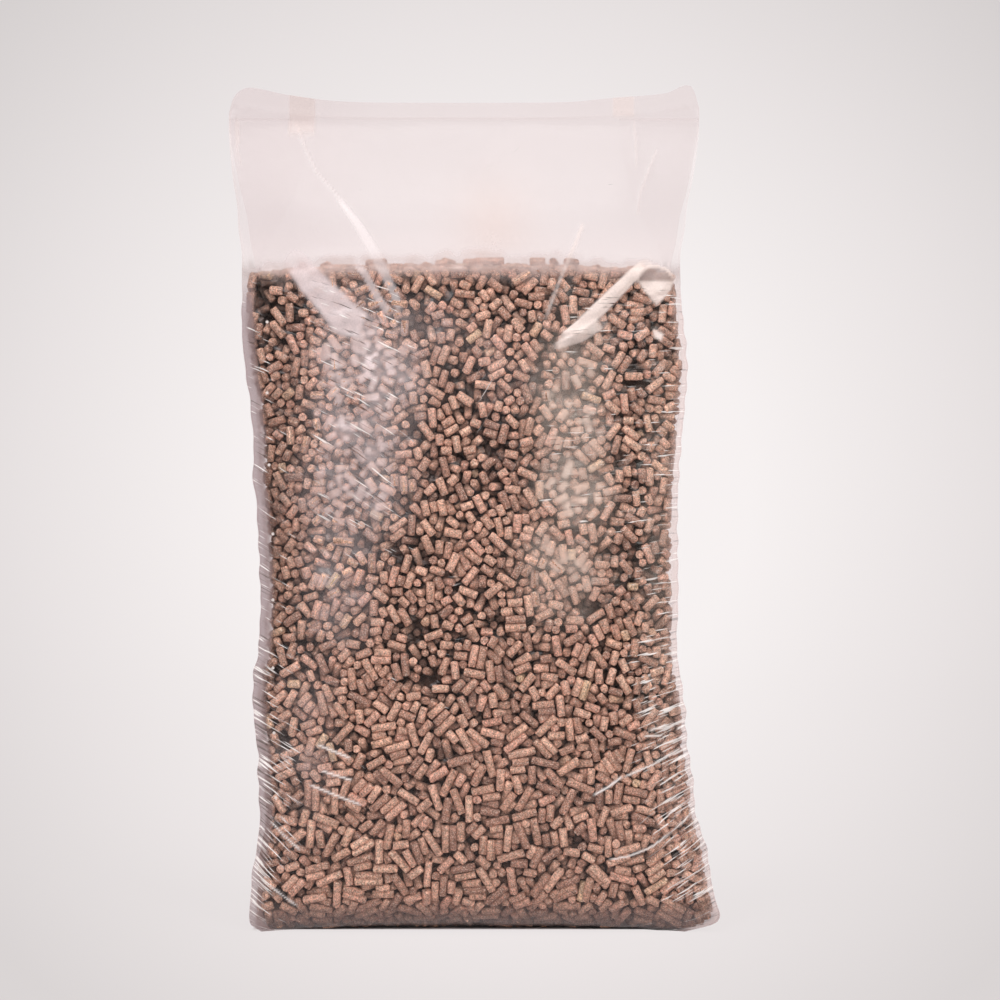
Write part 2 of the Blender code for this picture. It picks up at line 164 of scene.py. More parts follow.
def sections(z):
    """The film's half widths, depths and gusset tuck at each height."""
    body = np.clip(z / FILL_HEIGHT, 0, 1)
    head = np.clip((z - FILL_HEIGHT) / HEAD_HEIGHT, 0, 1)
    half_width, half_depth = FILLED_WIDTH / 2, FILLED_DEPTH / 2
    widening, closing = curve(HEAD_WIDENING, head), curve(HEAD_DEPTH, head)
    left = half_width * curve(LEFT_EDGE, body) + scallops(z, 3)
    right = half_width * curve(RIGHT_EDGE, body) + scallops(z, 4)
    middle = half_depth * curve(MIDDLE_DEPTH, body)
    edge = half_depth * curve(EDGE_DEPTH, body)
    tuck = half_width * curve(SIDE_TUCK, body)
    return {
        "left": left + widening * (FLAT_WIDTH / 2 + WELD_SHIFT - left),
        "right": right + widening * (FLAT_WIDTH / 2 - WELD_SHIFT - right),
        "middle": CLOSED_DEPTH + closing * (middle - CLOSED_DEPTH),
        "edge": CLOSED_DEPTH + closing * (edge - CLOSED_DEPTH),
        "tuck": tuck + curve(HEAD_PLEAT, head) * (GUSSET_FOLD - tuck),
    }


LEVELS = np.linspace(0, WELD_HEIGHT, 1200)
AT_LEVELS = sections(LEVELS)


def section_near(z):
    """The same as sections, read off fine level steps, which is quicker."""
    return {name: np.interp(z, LEVELS, values) for name, values in AT_LEVELS.items()}


def half_width_at(x, section):
    return np.where(x > 0, section["right"], section["left"])


def panel_at(section, share):
    """How far a smooth panel stands from the middle plane, this share of its half width out."""
    return section["edge"] + (section["middle"] - section["edge"]) * (1 - share ** BULGE_POWER)


def panel_depth(x, z):
    section = section_near(z)
    return panel_at(section, np.clip(np.abs(x) / half_width_at(x, section), 0, 1))


# Packing of the pellets


def room_share(points):
    """How far out each point lies in the litter's section: 0 in the middle, 1 at its skin."""
    x, y, z = points.T
    level = np.clip(z, 0, FILL_HEIGHT)
    section = section_near(level)
    pleat = section["tuck"] * np.clip(1 - np.abs(y) / section["edge"], 0, 1) ** GUSSET_POWER
    room = np.where(x > 0, curve(RIGHT_GAP, level / FILL_HEIGHT), curve(LEFT_GAP, level / FILL_HEIGHT))
    half = half_width_at(x, section)
    across = np.abs(x) / (half - pleat - room - SKIN)
    along = np.abs(y) / (panel_at(section, np.clip(np.abs(x) / half, 0, 1)) - SKIN)
    furthest = np.maximum(across, along)
    nearer = np.minimum(across, along) / np.maximum(furthest, 1e-9)
    return furthest * (1 + nearer ** PACKED_CORNER_POWER) ** (1 / PACKED_CORNER_POWER)


def skin_of(points):
    """Distance to the litter's upright skin, and the direction out through it."""
    step = 0.0005
    share = room_share(points)
    slope = np.stack([
        (room_share(points + step * axis) - room_share(points - step * axis)) / (2 * step)
        for axis in np.eye(3)
    ], axis=1)
    steepness = np.linalg.norm(slope, axis=1) + 1e-9
    return (1 - share) / steepness, slope / steepness[:, None]


def heap_top(points):
    return FILL_HEIGHT + HEAP_RISE * (1 - np.clip(room_share(points), 0, 1) ** 2)


def near_pairs(points, reach):
    """All pairs of points closer than reach, found through cells of that size."""
    cells = np.floor((points - points.min(axis=0)) / reach).astype(np.int64) + 1
    size = cells.max(axis=0) + 2
    key = (cells[:, 0] * size[1] + cells[:, 1]) * size[2] + cells[:, 2]
    order = np.argsort(key, kind="stable")
    sorted_key = key[order]
    found = []
    for dx, dy, dz in product((-1, 0, 1), repeat=3):
        shifted = key + (dx * size[1] + dy) * size[2] + dz
        start = np.searchsorted(sorted_key, shifted, side="left")
        count = np.searchsorted(sorted_key, shifted, side="right") - start
        first = np.repeat(np.arange(len(points)), count)
        within_cell = np.arange(count.sum()) - np.repeat(np.cumsum(count) - count, count)
        second = order[np.repeat(start, count) + within_cell]
        keep = first < second
        first, second = first[keep], second[keep]
        close = ((points[first] - points[second]) ** 2).sum(axis=1) < reach * reach
        found.append(np.stack([first[close], second[close]]))
    return np.concatenate(found, axis=1)


def closest_shares(a, b, c, d, trim_ab, trim_cd):
    """Where segments a-b and c-d come closest, as shares of each, kept off their ends by the trims."""
    ab, cd, ca = b - a, d - c, a - c
    aa, ee, ff = (ab * ab).sum(1), (cd * cd).sum(1), (cd * ca).sum(1)
    cc, bb = (ab * ca).sum(1), (ab * cd).sum(1)
    flat = aa * ee - bb * bb
    s = np.where(flat > 1e-14, (bb * ff - cc * ee) / np.maximum(flat, 1e-14), 0.5)
    s = np.clip(s, trim_ab, 1 - trim_ab)
    t = np.clip((bb * s + ff) / ee, trim_cd, 1 - trim_cd)
    s = np.clip((bb * t - cc) / aa, trim_ab, 1 - trim_ab)
    return s, t


def unit(vectors):
    return vectors / np.linalg.norm(vectors, axis=1)[:, None]


def scatter(count, index, pushes):
    return np.stack([np.bincount(index, pushes[:, k], count) for k in range(3)], axis=1)


def laid_pellets():
    """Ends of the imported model's loose pellets, which lie on top of the others."""
    starts, stops = [], []
    for name, node in sorted(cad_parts.items()):
        if not name.startswith("pellet_"):
            continue
        points = np.array([vertex.co for vertex in node.data.vertices])
        middle = points.mean(axis=0)
        along = np.linalg.svd(points - middle, full_matrices=False)[2][0]
        reach = np.abs((points - middle) @ along).max()
        starts.append(middle - along * reach)
        stops.append(middle + along * reach)
    return np.array(starts), np.array(stops)


def packed_pellets():
    """Both ends of every pellet near the litter's skin, after overlaps are pushed apart."""
    draw = np.random.default_rng(SEED)
    low = np.array([-FILLED_WIDTH * 0.6, -FILLED_DEPTH * 0.55, 0.002])
    high = np.array([FILLED_WIDTH * 0.62, FILLED_DEPTH * 0.55, FILL_HEIGHT + HEAP_RISE])
    spots = draw.uniform(low, high, (PELLETS * 8, 3))
    depth, outward = skin_of(spots)
    below_top = heap_top(spots) - spots[:, 2]
    deep = np.minimum(np.minimum(depth, below_top), spots[:, 2])
    inside = (deep > PELLET_RADIUS * 0.7) & (deep < SHELL)
    spots, outward = spots[inside][:PELLETS], outward[inside][:PELLETS]
    count = len(spots)
    lower = np.clip((0.21 - spots[:, 2]) / 0.10, 0, 1)
    shortest = SHORTEST_PELLET + 0.002 * lower
    longest = LONGEST_HIGH_UP + (LONGEST_PELLET - LONGEST_HIGH_UP) * lower
    length = shortest + (longest - shortest) * draw.random(count)
    heading = draw.normal(size=(count, 3))
    end_on = draw.random(count) < 0.34 - 0.18 * lower
    lying = heading - outward * (heading * outward).sum(1)[:, None] * 0.85
    heading = unit(np.where(end_on[:, None], outward + 0.38 * heading, lying))
    length = np.where(end_on, np.minimum(length, LONGEST_END_ON), length)
    a = spots - heading * length[:, None] / 2
    b = spots + heading * length[:, None] / 2
    fixed_a, fixed_b = laid_pellets()
    for step in range(PUSHES):
        radius = PELLET_RADIUS * min(1.0, 0.7 + 0.45 * step / PUSHES)
        all_a, all_b = np.concatenate([a, fixed_a]), np.concatenate([b, fixed_b])

        def closest(i, j):
            s, t = closest_shares(all_a[i], all_b[i], all_a[j], all_b[j], trim[i], trim[j])
            way = all_b - all_a
            return s, t, all_a[i] + way[i] * s[:, None] - all_a[j] - way[j] * t[:, None]

        if step % PUSHES_FOR_PAIRS == 0:
            i, j = near_pairs((all_a + all_b) / 2, LONGEST_PELLET * 0.95)
            trim = np.clip(0.7 * PELLET_RADIUS / np.linalg.norm(all_b - all_a, axis=1), 0, 0.45)
            near = (closest(i, j)[2] ** 2).sum(1) < (2 * PELLET_RADIUS + 0.0025) ** 2
            i, j = i[near], j[near]
        s, t, apart = closest(i, j)
        distance = np.linalg.norm(apart, axis=1) + 1e-9
        overlap = np.maximum(2 * radius - distance, 0)
        push = apart / distance[:, None] * (overlap * 0.45)[:, None]
        size = len(all_a)
        weight_s, weight_t = s / ((1 - s) ** 2 + s ** 2), t / ((1 - t) ** 2 + t ** 2)
        other_s, other_t = (1 - s) / ((1 - s) ** 2 + s ** 2), (1 - t) / ((1 - t) ** 2 + t ** 2)
        move_a = scatter(size, i, push * other_s[:, None]) - scatter(size, j, push * other_t[:, None])
        move_b = scatter(size, i, push * weight_s[:, None]) - scatter(size, j, push * weight_t[:, None])
        limit = PELLET_RADIUS / 2
        a = a + np.clip(move_a[:count] * 0.7, -limit, limit)
        b = b + np.clip(move_b[:count] * 0.7, -limit, limit)
        along = unit(b - a)
        ends = []
        for end in (a, b):
            gap, outward = skin_of(end)
            tilt = np.sqrt(np.clip(1 - (along * outward).sum(1) ** 2, 0, 1))
            end = end - outward * np.maximum(radius * tilt - gap, 0)[:, None]
            level = radius * np.sqrt(np.clip(1 - along[:, 2] ** 2, 0, 1))
            top = heap_top(end) - level
            end[:, 2] = np.clip(end[:, 2], FLOOR_GAP + level, top)
            ends.append(end)
        a, b = ends
        middle, along = (a + b) / 2, unit(b - a)
        gap, outward = skin_of(middle)
        deep = np.minimum(gap, np.minimum(heap_top(middle) - middle[:, 2], middle[:, 2]))
        side = (deep == gap) & (gap > SHELL)
        middle = middle + outward * (np.where(side, gap - SHELL, 0) * 0.5)[:, None]
        a = middle - along * length[:, None] / 2
        b = middle + along * length[:, None] / 2
    return a, b


LAYER_KINDS = {1: ("FLOAT", "value"), 3: ("FLOAT_VECTOR", "vector"), 4: ("FLOAT_COLOR", "color")}


def mesh_piece(name, points, loops, sizes, smooth, layers):
    """A mesh of faces with these numbers of corners, and a layer of values at its points for each name."""
    mesh = bpy.data.meshes.new(name)
    mesh.vertices.add(points.size // 3)
    mesh.vertices.foreach_set("co", points.astype(np.float32).ravel())
    mesh.loops.add(loops.size)
    mesh.loops.foreach_set("vertex_index", loops.astype(np.int32).ravel())
    mesh.polygons.add(len(sizes))
    mesh.polygons.foreach_set("loop_start", (np.cumsum(sizes) - sizes).astype(np.int32))
    mesh.polygons.foreach_set("use_smooth", smooth)
    mesh.update(calc_edges=True)
    for key, values in layers.items():
        kind, field = LAYER_KINDS[values.size // len(mesh.vertices)]
        layer = mesh.attributes.new(key, kind, "POINT")
        layer.data.foreach_set(field, values.astype(np.float32).ravel())
    obj = bpy.data.objects.new(name, mesh)
    bpy.context.collection.objects.link(obj)
    return obj


def pellet_mesh(name, a, b, seed, sides):
    """One mesh of pellets between the given ends, with worn rims and uneven ends."""
    draw = np.random.default_rng(seed)
    count = len(a)
    length = np.linalg.norm(b - a, axis=1)
    along = unit(b - a)
    helper = np.where(np.abs(along[:, 2:3]) < 0.8, [[0.0, 0.0, 1.0]], [[1.0, 0.0, 0.0]])
    across = unit(np.cross(along, helper))
    third = np.cross(along, across)
    turn = np.arange(sides)
    cosine, sine = np.cos(2 * np.pi * turn / sides), np.sin(2 * np.pi * turn / sides)
    outward = across[:, None] * cosine[:, None] + third[:, None] * sine[:, None]
    size = PELLET_RADIUS * draw.uniform(0.93, 1.03, count)
    slant = draw.normal(0, 0.22, (count, 2, 2))
    rings = []
    for end, worn, reach in ((0, 0, WORN_SHARE), (0, WORN_EDGE, 1), (1, WORN_EDGE, 1), (1, 0, WORN_SHARE)):
        reached = (size * reach)[:, None]
        wobble = draw.normal(0, 0.00020, (count, sides))
        uneven = np.abs(draw.normal(0, 0.00025, (count, sides)))
        tilt = np.abs(cosine * slant[:, end, :1] + sine * slant[:, end, 1:])
        shift = (1 - 2 * end) * (worn + uneven + 0.6 * tilt * reached)
        ring = outward * (reached + wobble)[..., None] + along[:, None] * shift[..., None]
        rings.append((a, b)[end][:, None] + ring)
    tips = []
    for base, sign in ((a, 1), (b, -1)):
        tips.append(base + along * (sign * np.abs(draw.normal(0.0003, 0.0003, count)))[:, None])
    points = np.concatenate([np.stack(rings, 1).reshape(count, -1, 3), np.stack(tips, 1)], axis=1)
    after = (turn + 1) % sides
    quads = np.stack([turn, after, sides + after, sides + turn], 1)
    quads = np.concatenate([quads + ring * sides for ring in range(3)])
    tip, per = 4 * sides, 4 * sides + 2
    caps = np.concatenate([
        np.stack([np.full(sides, tip), after, turn], 1),
        np.stack([np.full(sides, tip + 1), 3 * sides + turn, 3 * sides + after], 1),
    ])
    loops = np.concatenate([quads.ravel(), caps.ravel()]) + np.arange(count)[:, None] * per
    sizes = np.tile(np.repeat([4, 3], [len(quads), len(caps)]), count)
    local = np.zeros((count, per, 3))
    local[:, :tip, 0] = np.tile(cosine, 4)
    local[:, :tip, 1] = np.tile(sine, 4)
    local[:, np.r_[2 * sides:tip, tip + 1], 2] = length[:, None] / PELLET_RADIUS
    local += draw.uniform(0, 50, (count, 1, 3))
    flat = points.reshape(-1, 3)
    behind = np.minimum(skin_of(flat)[0], heap_top(flat) - flat[:, 2])
    tone = np.repeat(draw.random(count), per)
    # pellets lying deeper behind the skin get a painted shade
    layers = {"painted_depth_shade": eased(behind, 0.0022, 0.0072), "grain": local, "tone": tone}
    return mesh_piece(name, points, loops, sizes, sizes == 4, layers)


# Film


def grid_mesh(name, points, layers, flip=False):
    """A skin over a grid of points, (rows, columns, 3)."""
    rows, columns = points.shape[:2]
    index = np.arange(rows * columns).reshape(rows, columns)
    quads = np.stack([index[:-1, :-1], index[:-1, 1:], index[1:, 1:], index[1:, :-1]], -1).reshape(-1, 4)
    if flip:
        quads = quads[:, ::-1]
    return mesh_piece(name, points, quads, np.full(len(quads), 4), np.ones(len(quads), bool), layers)


def blurred(values, times):
    """Each value averaged with its neighbours on the grid, several times."""
    for _ in range(times):
        padded = np.pad(values, 1, mode="edge")
        values = (
            padded[1:-1, 1:-1] * 4 + padded[:-2, 1:-1] * 2 + padded[2:, 1:-1] * 2
            + padded[1:-1, :-2] * 2 + padded[1:-1, 2:] * 2
            + padded[:-2, :-2] + padded[:-2, 2:] + padded[2:, :-2] + padded[2:, 2:]
        ) / 16
    return values


def shrunk(values, times):
    """The least value around each place on the grid, growing a step each time."""
    for _ in range(times):
        padded = np.pad(values, 1, mode="edge")
        values = np.minimum.reduce([
            padded[1:-1, 1:-1], padded[:-2, 1:-1], padded[2:, 1:-1], padded[1:-1, :-2], padded[1:-1, 2:],
        ])
    return values


def eased(value, start, stop):
    """0 up to start, 1 from stop on, and smooth between."""
    t = np.clip((value - start) / (stop - start), 0, 1)
    return t * t * (3 - 2 * t)


def within(value, rise, fall):
    """0 up to the rise's start, 1 between the rise and the fall, and 0 again after the fall."""
    return eased(value, *rise) * (1 - eased(value, *fall))


def air_behind(points, inward, tree, furthest):
    """How far behind each film point the first pellet lies."""
    found = np.full(points.size // 3, furthest)
    for k, point in enumerate(points.reshape(-1, 3)):
        distance = tree.ray_cast(point, inward, furthest)[3]
        if distance is not None:
            found[k] = distance
    return found.reshape(points.shape[:2])


def film_heights(rows_body, rows_head):
    body = np.linspace(0, FILL_HEIGHT, rows_body, endpoint=False)
    head = np.linspace(FILL_HEIGHT, WELD_HEIGHT, rows_head)
    return np.concatenate([body, head])


def panel_grid(side, columns, rows_body, rows_head, rows_fin):
    """The smooth front (side -1) or back (side 1) panel, up to the cut edge."""
    z = film_heights(rows_body, rows_head)[:, None]
    share = np.linspace(-1, 1, columns)[None]
    section = sections(z)
    x = share * half_width_at(share, section)
    y = side * panel_at(section, np.abs(share))
    lower = np.stack([x, y, np.broadcast_to(z, x.shape)], -1)
    top_x = np.linspace(-1, 1, columns) * FLAT_WIDTH / 2 - WELD_SHIFT
    rise = FIN_HEIGHT * curve(TOP_EDGE, np.linspace(-1, 1, columns))
    up = np.linspace(0, 1, rows_fin + 1)[1:, None]
    closing = CLOSED_DEPTH + (MELTED_DEPTH - CLOSED_DEPTH) * np.clip(up * 2, 0, 1)
    fin = np.stack([
        np.broadcast_to(top_x, (rows_fin, columns)),
        np.broadcast_to(side * closing, (rows_fin, columns)),
        WELD_HEIGHT + up * rise,
    ], -1)
    return np.concatenate([lower, fin])


def gusset_grid(hand, columns, rows_body, rows_head):
    """The folded side panel at the left (hand -1) or right (hand 1), front edge to back edge."""
    z = film_heights(rows_body, rows_head)[:, None]
    across = np.linspace(-1, 1, columns)[None]
    section = sections(z)
    half = section["right"] if hand > 0 else section["left"]
    share = 1 - np.abs(across)
    x = hand * (half - section["tuck"] * share ** GUSSET_POWER)
    y = across * (section["edge"] - 0.0003)
    return np.stack([x, y, np.broadcast_to(z, x.shape)], -1)


def base_grid(columns, rings):
    """The flat base under the bag."""
    front = panel_grid(-1, columns, 2, 2, 1)[0]
    back = panel_grid(1, columns, 2, 2, 1)[0]
    share = np.linspace(0, 1, rings)[:, None, None]
    return front[None] * (1 - share) + back[None] * share


def near_path(x, z, path, widths):
    """Distance from a path over its half width, and how far along the path, at each place."""
    best = np.full(x.shape, 1e3)
    along = np.zeros(x.shape)
    steps = len(path) - 1
    widths = np.broadcast_to(widths, len(path)) if np.ndim(widths) == 0 else np.array(widths)
    for k in range(steps):
        (x0, z0), (x1, z1) = path[k], path[k + 1]
        length = (x1 - x0) ** 2 + (z1 - z0) ** 2
        t = np.clip(((x - x0) * (x1 - x0) + (z - z0) * (z1 - z0)) / length, 0, 1)
        distance = np.hypot(x - x0 - t * (x1 - x0), z - z0 - t * (z1 - z0))
        distance = distance / (widths[k] + t * (widths[k + 1] - widths[k]))
        closer = distance < best
        best = np.where(closer, distance, best)
        along = np.where(closer, (k + t) / steps, along)
    return best, along


def ridges(x, z, paths):
    """Height of the sum of ridges, each a path with its half width and height."""
    height = np.zeros(x.shape)
    for path, width, rise in paths:
        reach = 3 * width
        xs, zs = [p[0] for p in path], [p[1] for p in path]
        box = (x > min(xs) - reach) & (x < max(xs) + reach) & (z > min(zs) - reach) & (z < max(zs) + reach)
        if not box.any():
            continue
        rows = np.flatnonzero(box.any(axis=1))
        columns = np.flatnonzero(box.any(axis=0))
        part = (slice(rows[0], rows[-1] + 1), slice(columns[0], columns[-1] + 1))
        distance, along = near_path(x[part], z[part], path, width)
        taper = np.clip(np.minimum(along, 1 - along) * 5, 0, 1) ** 0.7
        height[part] += rise * np.exp(-distance ** 2) * taper
    return height


class MilkAndPaintedLight:
    """How much milkiness the film has at each place and of what colour, with painted sheen, glints,
    highlights and shade laid in among the layers, layer painted over layer.
    """

    def __init__(self, x, z):
        self.x, self.z = x, z
        self.haze_and_painted_light = np.zeros(x.shape)
        self.colour = np.broadcast_to(np.array(PALE), x.shape + (3,)).copy()

    def over(self, weight, colour):
        weight = np.clip(weight, 0, 1)
        whole = self.haze_and_painted_light + weight * (1 - self.haze_and_painted_light)
        share = np.where(whole > 0, weight / np.maximum(whole, 1e-6), 0)[..., None]
        self.colour = self.colour * (1 - share) + np.array(colour) * share
        self.haze_and_painted_light = whole

    def patch(self, corners, colour, weight, soft=0.0012):
        """A flat facet with the given corners, which turn one way around."""
        inside = np.full(self.x.shape, 1e3)
        turns = np.array(corners)
        turning = np.cross(turns[1] - turns[0], turns[2] - turns[1])
        for (x0, z0), (x1, z1) in zip(corners, corners[1:] + corners[:1]):
            beside = (x1 - x0) * (self.z - z0) - (z1 - z0) * (self.x - x0)
            inside = np.minimum(inside, beside / math.copysign(math.hypot(x1 - x0, z1 - z0), turning))
        self.over(weight * eased(inside, -soft, soft), colour)

    def stroke(self, path, widths, colour, weight, soft=0.35):
        distance, along = near_path(self.x, self.z, path, widths)
        ends = np.clip(np.minimum(along, 1 - along) * 12 + 0.35, 0, 1)
        self.over(weight * (1 - eased(distance, 1 - soft, 1 + soft)) * ends, colour)

    def layers(self):
        return {"haze_and_painted_light": self.haze_and_painted_light, "milk_and_painted_light": np.concatenate([self.colour, np.ones(self.x.shape + (1,))], -1)}


def waves(x, z, seed, fineness, count=14):
    """Smooth random unevenness between about -1 and 1."""
    draw = np.random.default_rng(seed)
    total = np.zeros(x.shape)
    for _ in range(count):
        kx, kz = draw.normal(size=2) * fineness
        total += np.sin(kx * x + kz * z + draw.uniform(0, 2 * np.pi))
    return total / math.sqrt(count)


# Places on the front of the bag, as (x, z) in metres
LEFT_CREASE = (
    (-0.1273, 0.5790), (-0.1167, 0.5529), (-0.1088, 0.5372), (-0.0915, 0.5170), (-0.0766, 0.4964),
    (-0.0663, 0.4794), (-0.0592, 0.4652), (-0.0500, 0.4462), (-0.0472, 0.4357),
)
LEFT_BAND = ((-0.1197, 0.4701), (-0.1083, 0.4558), (-0.0941, 0.4409), (-0.0849, 0.4304), (-0.0709, 0.4247))
SECOND_BAND = ((-0.0774, 0.4695), (-0.0703, 0.4596), (-0.0619, 0.4442), (-0.0549, 0.4344))
LEFT_FOLDS = (
    ((-0.1678, 0.5800), (-0.1671, 0.5665), (-0.1630, 0.5432)),
    ((-0.1655, 0.5780), (-0.1650, 0.5600)),
)
RIGHT_CREASES = (
    ((0.1203, 0.5780), (0.1203, 0.5702), (0.1208, 0.5428)),
    ((0.1357, 0.5562), (0.1277, 0.5352), (0.1222, 0.5197), (0.1196, 0.5045)),
)
RIGHT_LINE = ((0.0810, 0.4970), (0.0768, 0.4854), (0.0662, 0.4603), (0.0592, 0.4428), (0.0550, 0.4302))
RIGHT_BAND = (
    (0.1253, 0.4689), (0.1153, 0.4602), (0.1054, 0.4502), (0.0927, 0.4375),
    (0.0801, 0.4261), (0.0661, 0.4163),
)
RIGHT_FACET = ((0.0927, 0.4277), (0.0787, 0.4178), (0.0619, 0.4107))
POUCH_RIM = (
    (0.1181, 0.4561), (0.1210, 0.4631), (0.1267, 0.4668), (0.1338, 0.4670),
    (0.1409, 0.4650), (0.1459, 0.4581),
)
POUCH_TOP = ((0.1195, 0.4570), (0.1240, 0.4645), (0.1320, 0.4668), (0.1400, 0.4650), (0.1455, 0.4570))
POUCH_FACETS = (
    ((0.1195, 0.4568), (0.1455, 0.4575), (0.1425, 0.4510), (0.1240, 0.4500)),
    ((0.1240, 0.4502), (0.1425, 0.4512), (0.1370, 0.4440), (0.1330, 0.4400), (0.1290, 0.4440)),
    ((0.1300, 0.4235), (0.1375, 0.4200), (0.1360, 0.4150), (0.1310, 0.4180)),
)
VENTS = (
    (-0.1402, 0.4283), (-0.1402, 0.3786), (-0.1388, 0.3281), (-0.1360, 0.2798),
    (-0.1360, 0.2336), (-0.1358, 0.1861), (-0.1350, 0.1407), (-0.1337, 0.0952),
)
LONG_WRINKLES = (
    (((0.0883, 0.0987), (0.0980, 0.1040), (0.1079, 0.1109)), 0.0016, 0.0011),
    (
        ((0.0996, 0.0530), (0.1130, 0.0555), (0.1276, 0.0609), (0.1430, 0.0715), (0.1561, 0.0830)),
        0.0014, 0.0012,
    ),
    (((0.1241, 0.1390), (0.1384, 0.1386)), 0.0015, 0.0014),
    (((0.1277, 0.1431), (0.1400, 0.1450), (0.1513, 0.1480)), 0.0014, 0.0010),
    (((0.1100, 0.1110), (0.1300, 0.1190), (0.1490, 0.1290)), 0.0013, 0.0009),
    (((-0.1094, 0.1050), (-0.0735, 0.0918)), 0.0015, 0.0010),
    (((-0.1037, 0.1331), (-0.0812, 0.1244)), 0.0015, 0.0010),
    (((-0.1010, 0.1150), (-0.0800, 0.1090)), 0.0014, 0.0008),
    (((-0.1438, 0.0864), (-0.1290, 0.0700), (-0.1166, 0.0594)), 0.0014, 0.0010),
    (((-0.1436, 0.0376), (-0.1191, 0.0194)), 0.0014, 0.0009),
)

# Colours of the film's milkiness, of the painted highlights and glints on its creases, bands and facets, of
# its painted sheen and of its painted shade
MAUVE_WHITE = (0.83, 0.70, 0.70)
PALE = (0.90, 0.84, 0.84)
TAN = (0.78, 0.60, 0.53)
BAND_CREAM = (0.82, 0.69, 0.64)
BAND_MAUVE = (0.70, 0.60, 0.60)
SHEEN_CREAM = (0.93, 0.76, 0.66)
GLINT = (1.0, 0.95, 0.92)
SHADE = (0.10, 0.065, 0.055)
PAINTED_EDGE_SHADE = (0.37, 0.285, 0.295)
LINE = (0.58, 0.48, 0.46)
FOG = (0.50, 0.375, 0.345)
BROWN_SHADE = (0.085, 0.050, 0.042)
GLINT_SHARE = 0.72
SHADE_SHARE = 0.40

# Middle and half size of each soft patch of painted sheen, where the lamps would be seen on the film, how
# strong it is, and its colour; the last patch is painted shade by the left edge
PAINTED_SHEEN_AND_SHADE = (
    ((-0.070, 0.388), (0.036, 0.050), 0.56, MAUVE_WHITE), ((-0.078, 0.318),
    (0.036, 0.042), 0.42, MAUVE_WHITE),
    ((-0.090, 0.249), (0.026, 0.050), 0.26, MAUVE_WHITE), ((-0.112, 0.137),
    (0.022, 0.056), 0.13, MAUVE_WHITE),
    ((0.073, 0.378), (0.025, 0.048), 0.40, SHEEN_CREAM), ((0.076, 0.311), (0.026, 0.034), 0.40, SHEEN_CREAM),
    ((0.068, 0.255), (0.032, 0.036), 0.25, SHEEN_CREAM), ((0.137, 0.262), (0.016, 0.14), 0.14, SHEEN_CREAM),
    ((-0.030, 0.420), (0.030, 0.026), 0.12, MAUVE_WHITE), ((0.020, 0.395), (0.030, 0.030), 0.08, MAUVE_WHITE),
    ((-0.132, 0.330), (0.016, 0.11), 0.20, BROWN_SHADE),
)

# Path, half width, colour and strength of each painted crease or band, and how soft its edges are: the pale
# ones are partly the milkiness of folded film and partly painted reflection of the lamps, the dark ones are
# lines along creases and folds
STROKES = (
    (LEFT_CREASE[:4], 0.0011, (0.92, 0.88, 0.87), 0.06),
    ([(x + 0.0016, z) for x, z in LEFT_CREASE[:4]], 0.0007, LINE, 0.24),
    (LEFT_CREASE[3:], (0.0018, 0.0028, 0.0034, 0.0036, 0.0028, 0.0020), (0.78, 0.70, 0.70), 0.42),
    (LEFT_BAND, (0.0080, 0.0095, 0.0105, 0.0115, 0.0085), (0.72, 0.60, 0.60), 0.74, 0.22),
    (SECOND_BAND, 0.0026, BAND_MAUVE, 0.50, 0.2),
    *((path, 0.0008, LINE, 0.35) for path in LEFT_FOLDS),
    *((path, 0.0009, (0.66, 0.53, 0.50), 0.18) for path in RIGHT_CREASES),
    (RIGHT_LINE, 0.0014, (0.74, 0.62, 0.58), 0.38),
    (RIGHT_BAND, (0.0040, 0.0042, 0.0046, 0.0050, 0.0042, 0.0022), BAND_CREAM, 0.86, 0.16),
    (RIGHT_FACET, (0.0052, 0.0044, 0.0024), BAND_CREAM, 0.60, 0.2),
)

# How many short creases lie on each flank: across and up from and to, slope and its spread,
# then lengths, half widths and heights
FLANK_WRINKLES = (
    (34, (-0.125, -0.055), (0.10, 0.36), (-0.35, 0.15), (0.010, 0.028), (0.0012, 0.0018), (0.0003, 0.0007)),
    (40, (0.02, 0.085), (0.25, 0.425), (0.12, 0.14), (0.012, 0.030), (0.0012, 0.0020), (0.0003, 0.0008)),
    (60, (-0.12, 0.10), (0.02, 0.44), (0.0, 0.5), (0.008, 0.020), (0.0012, 0.0018), (0.0002, 0.0005)),
)
FURTHEST = 0.060  # how far behind the film a pellet is looked for


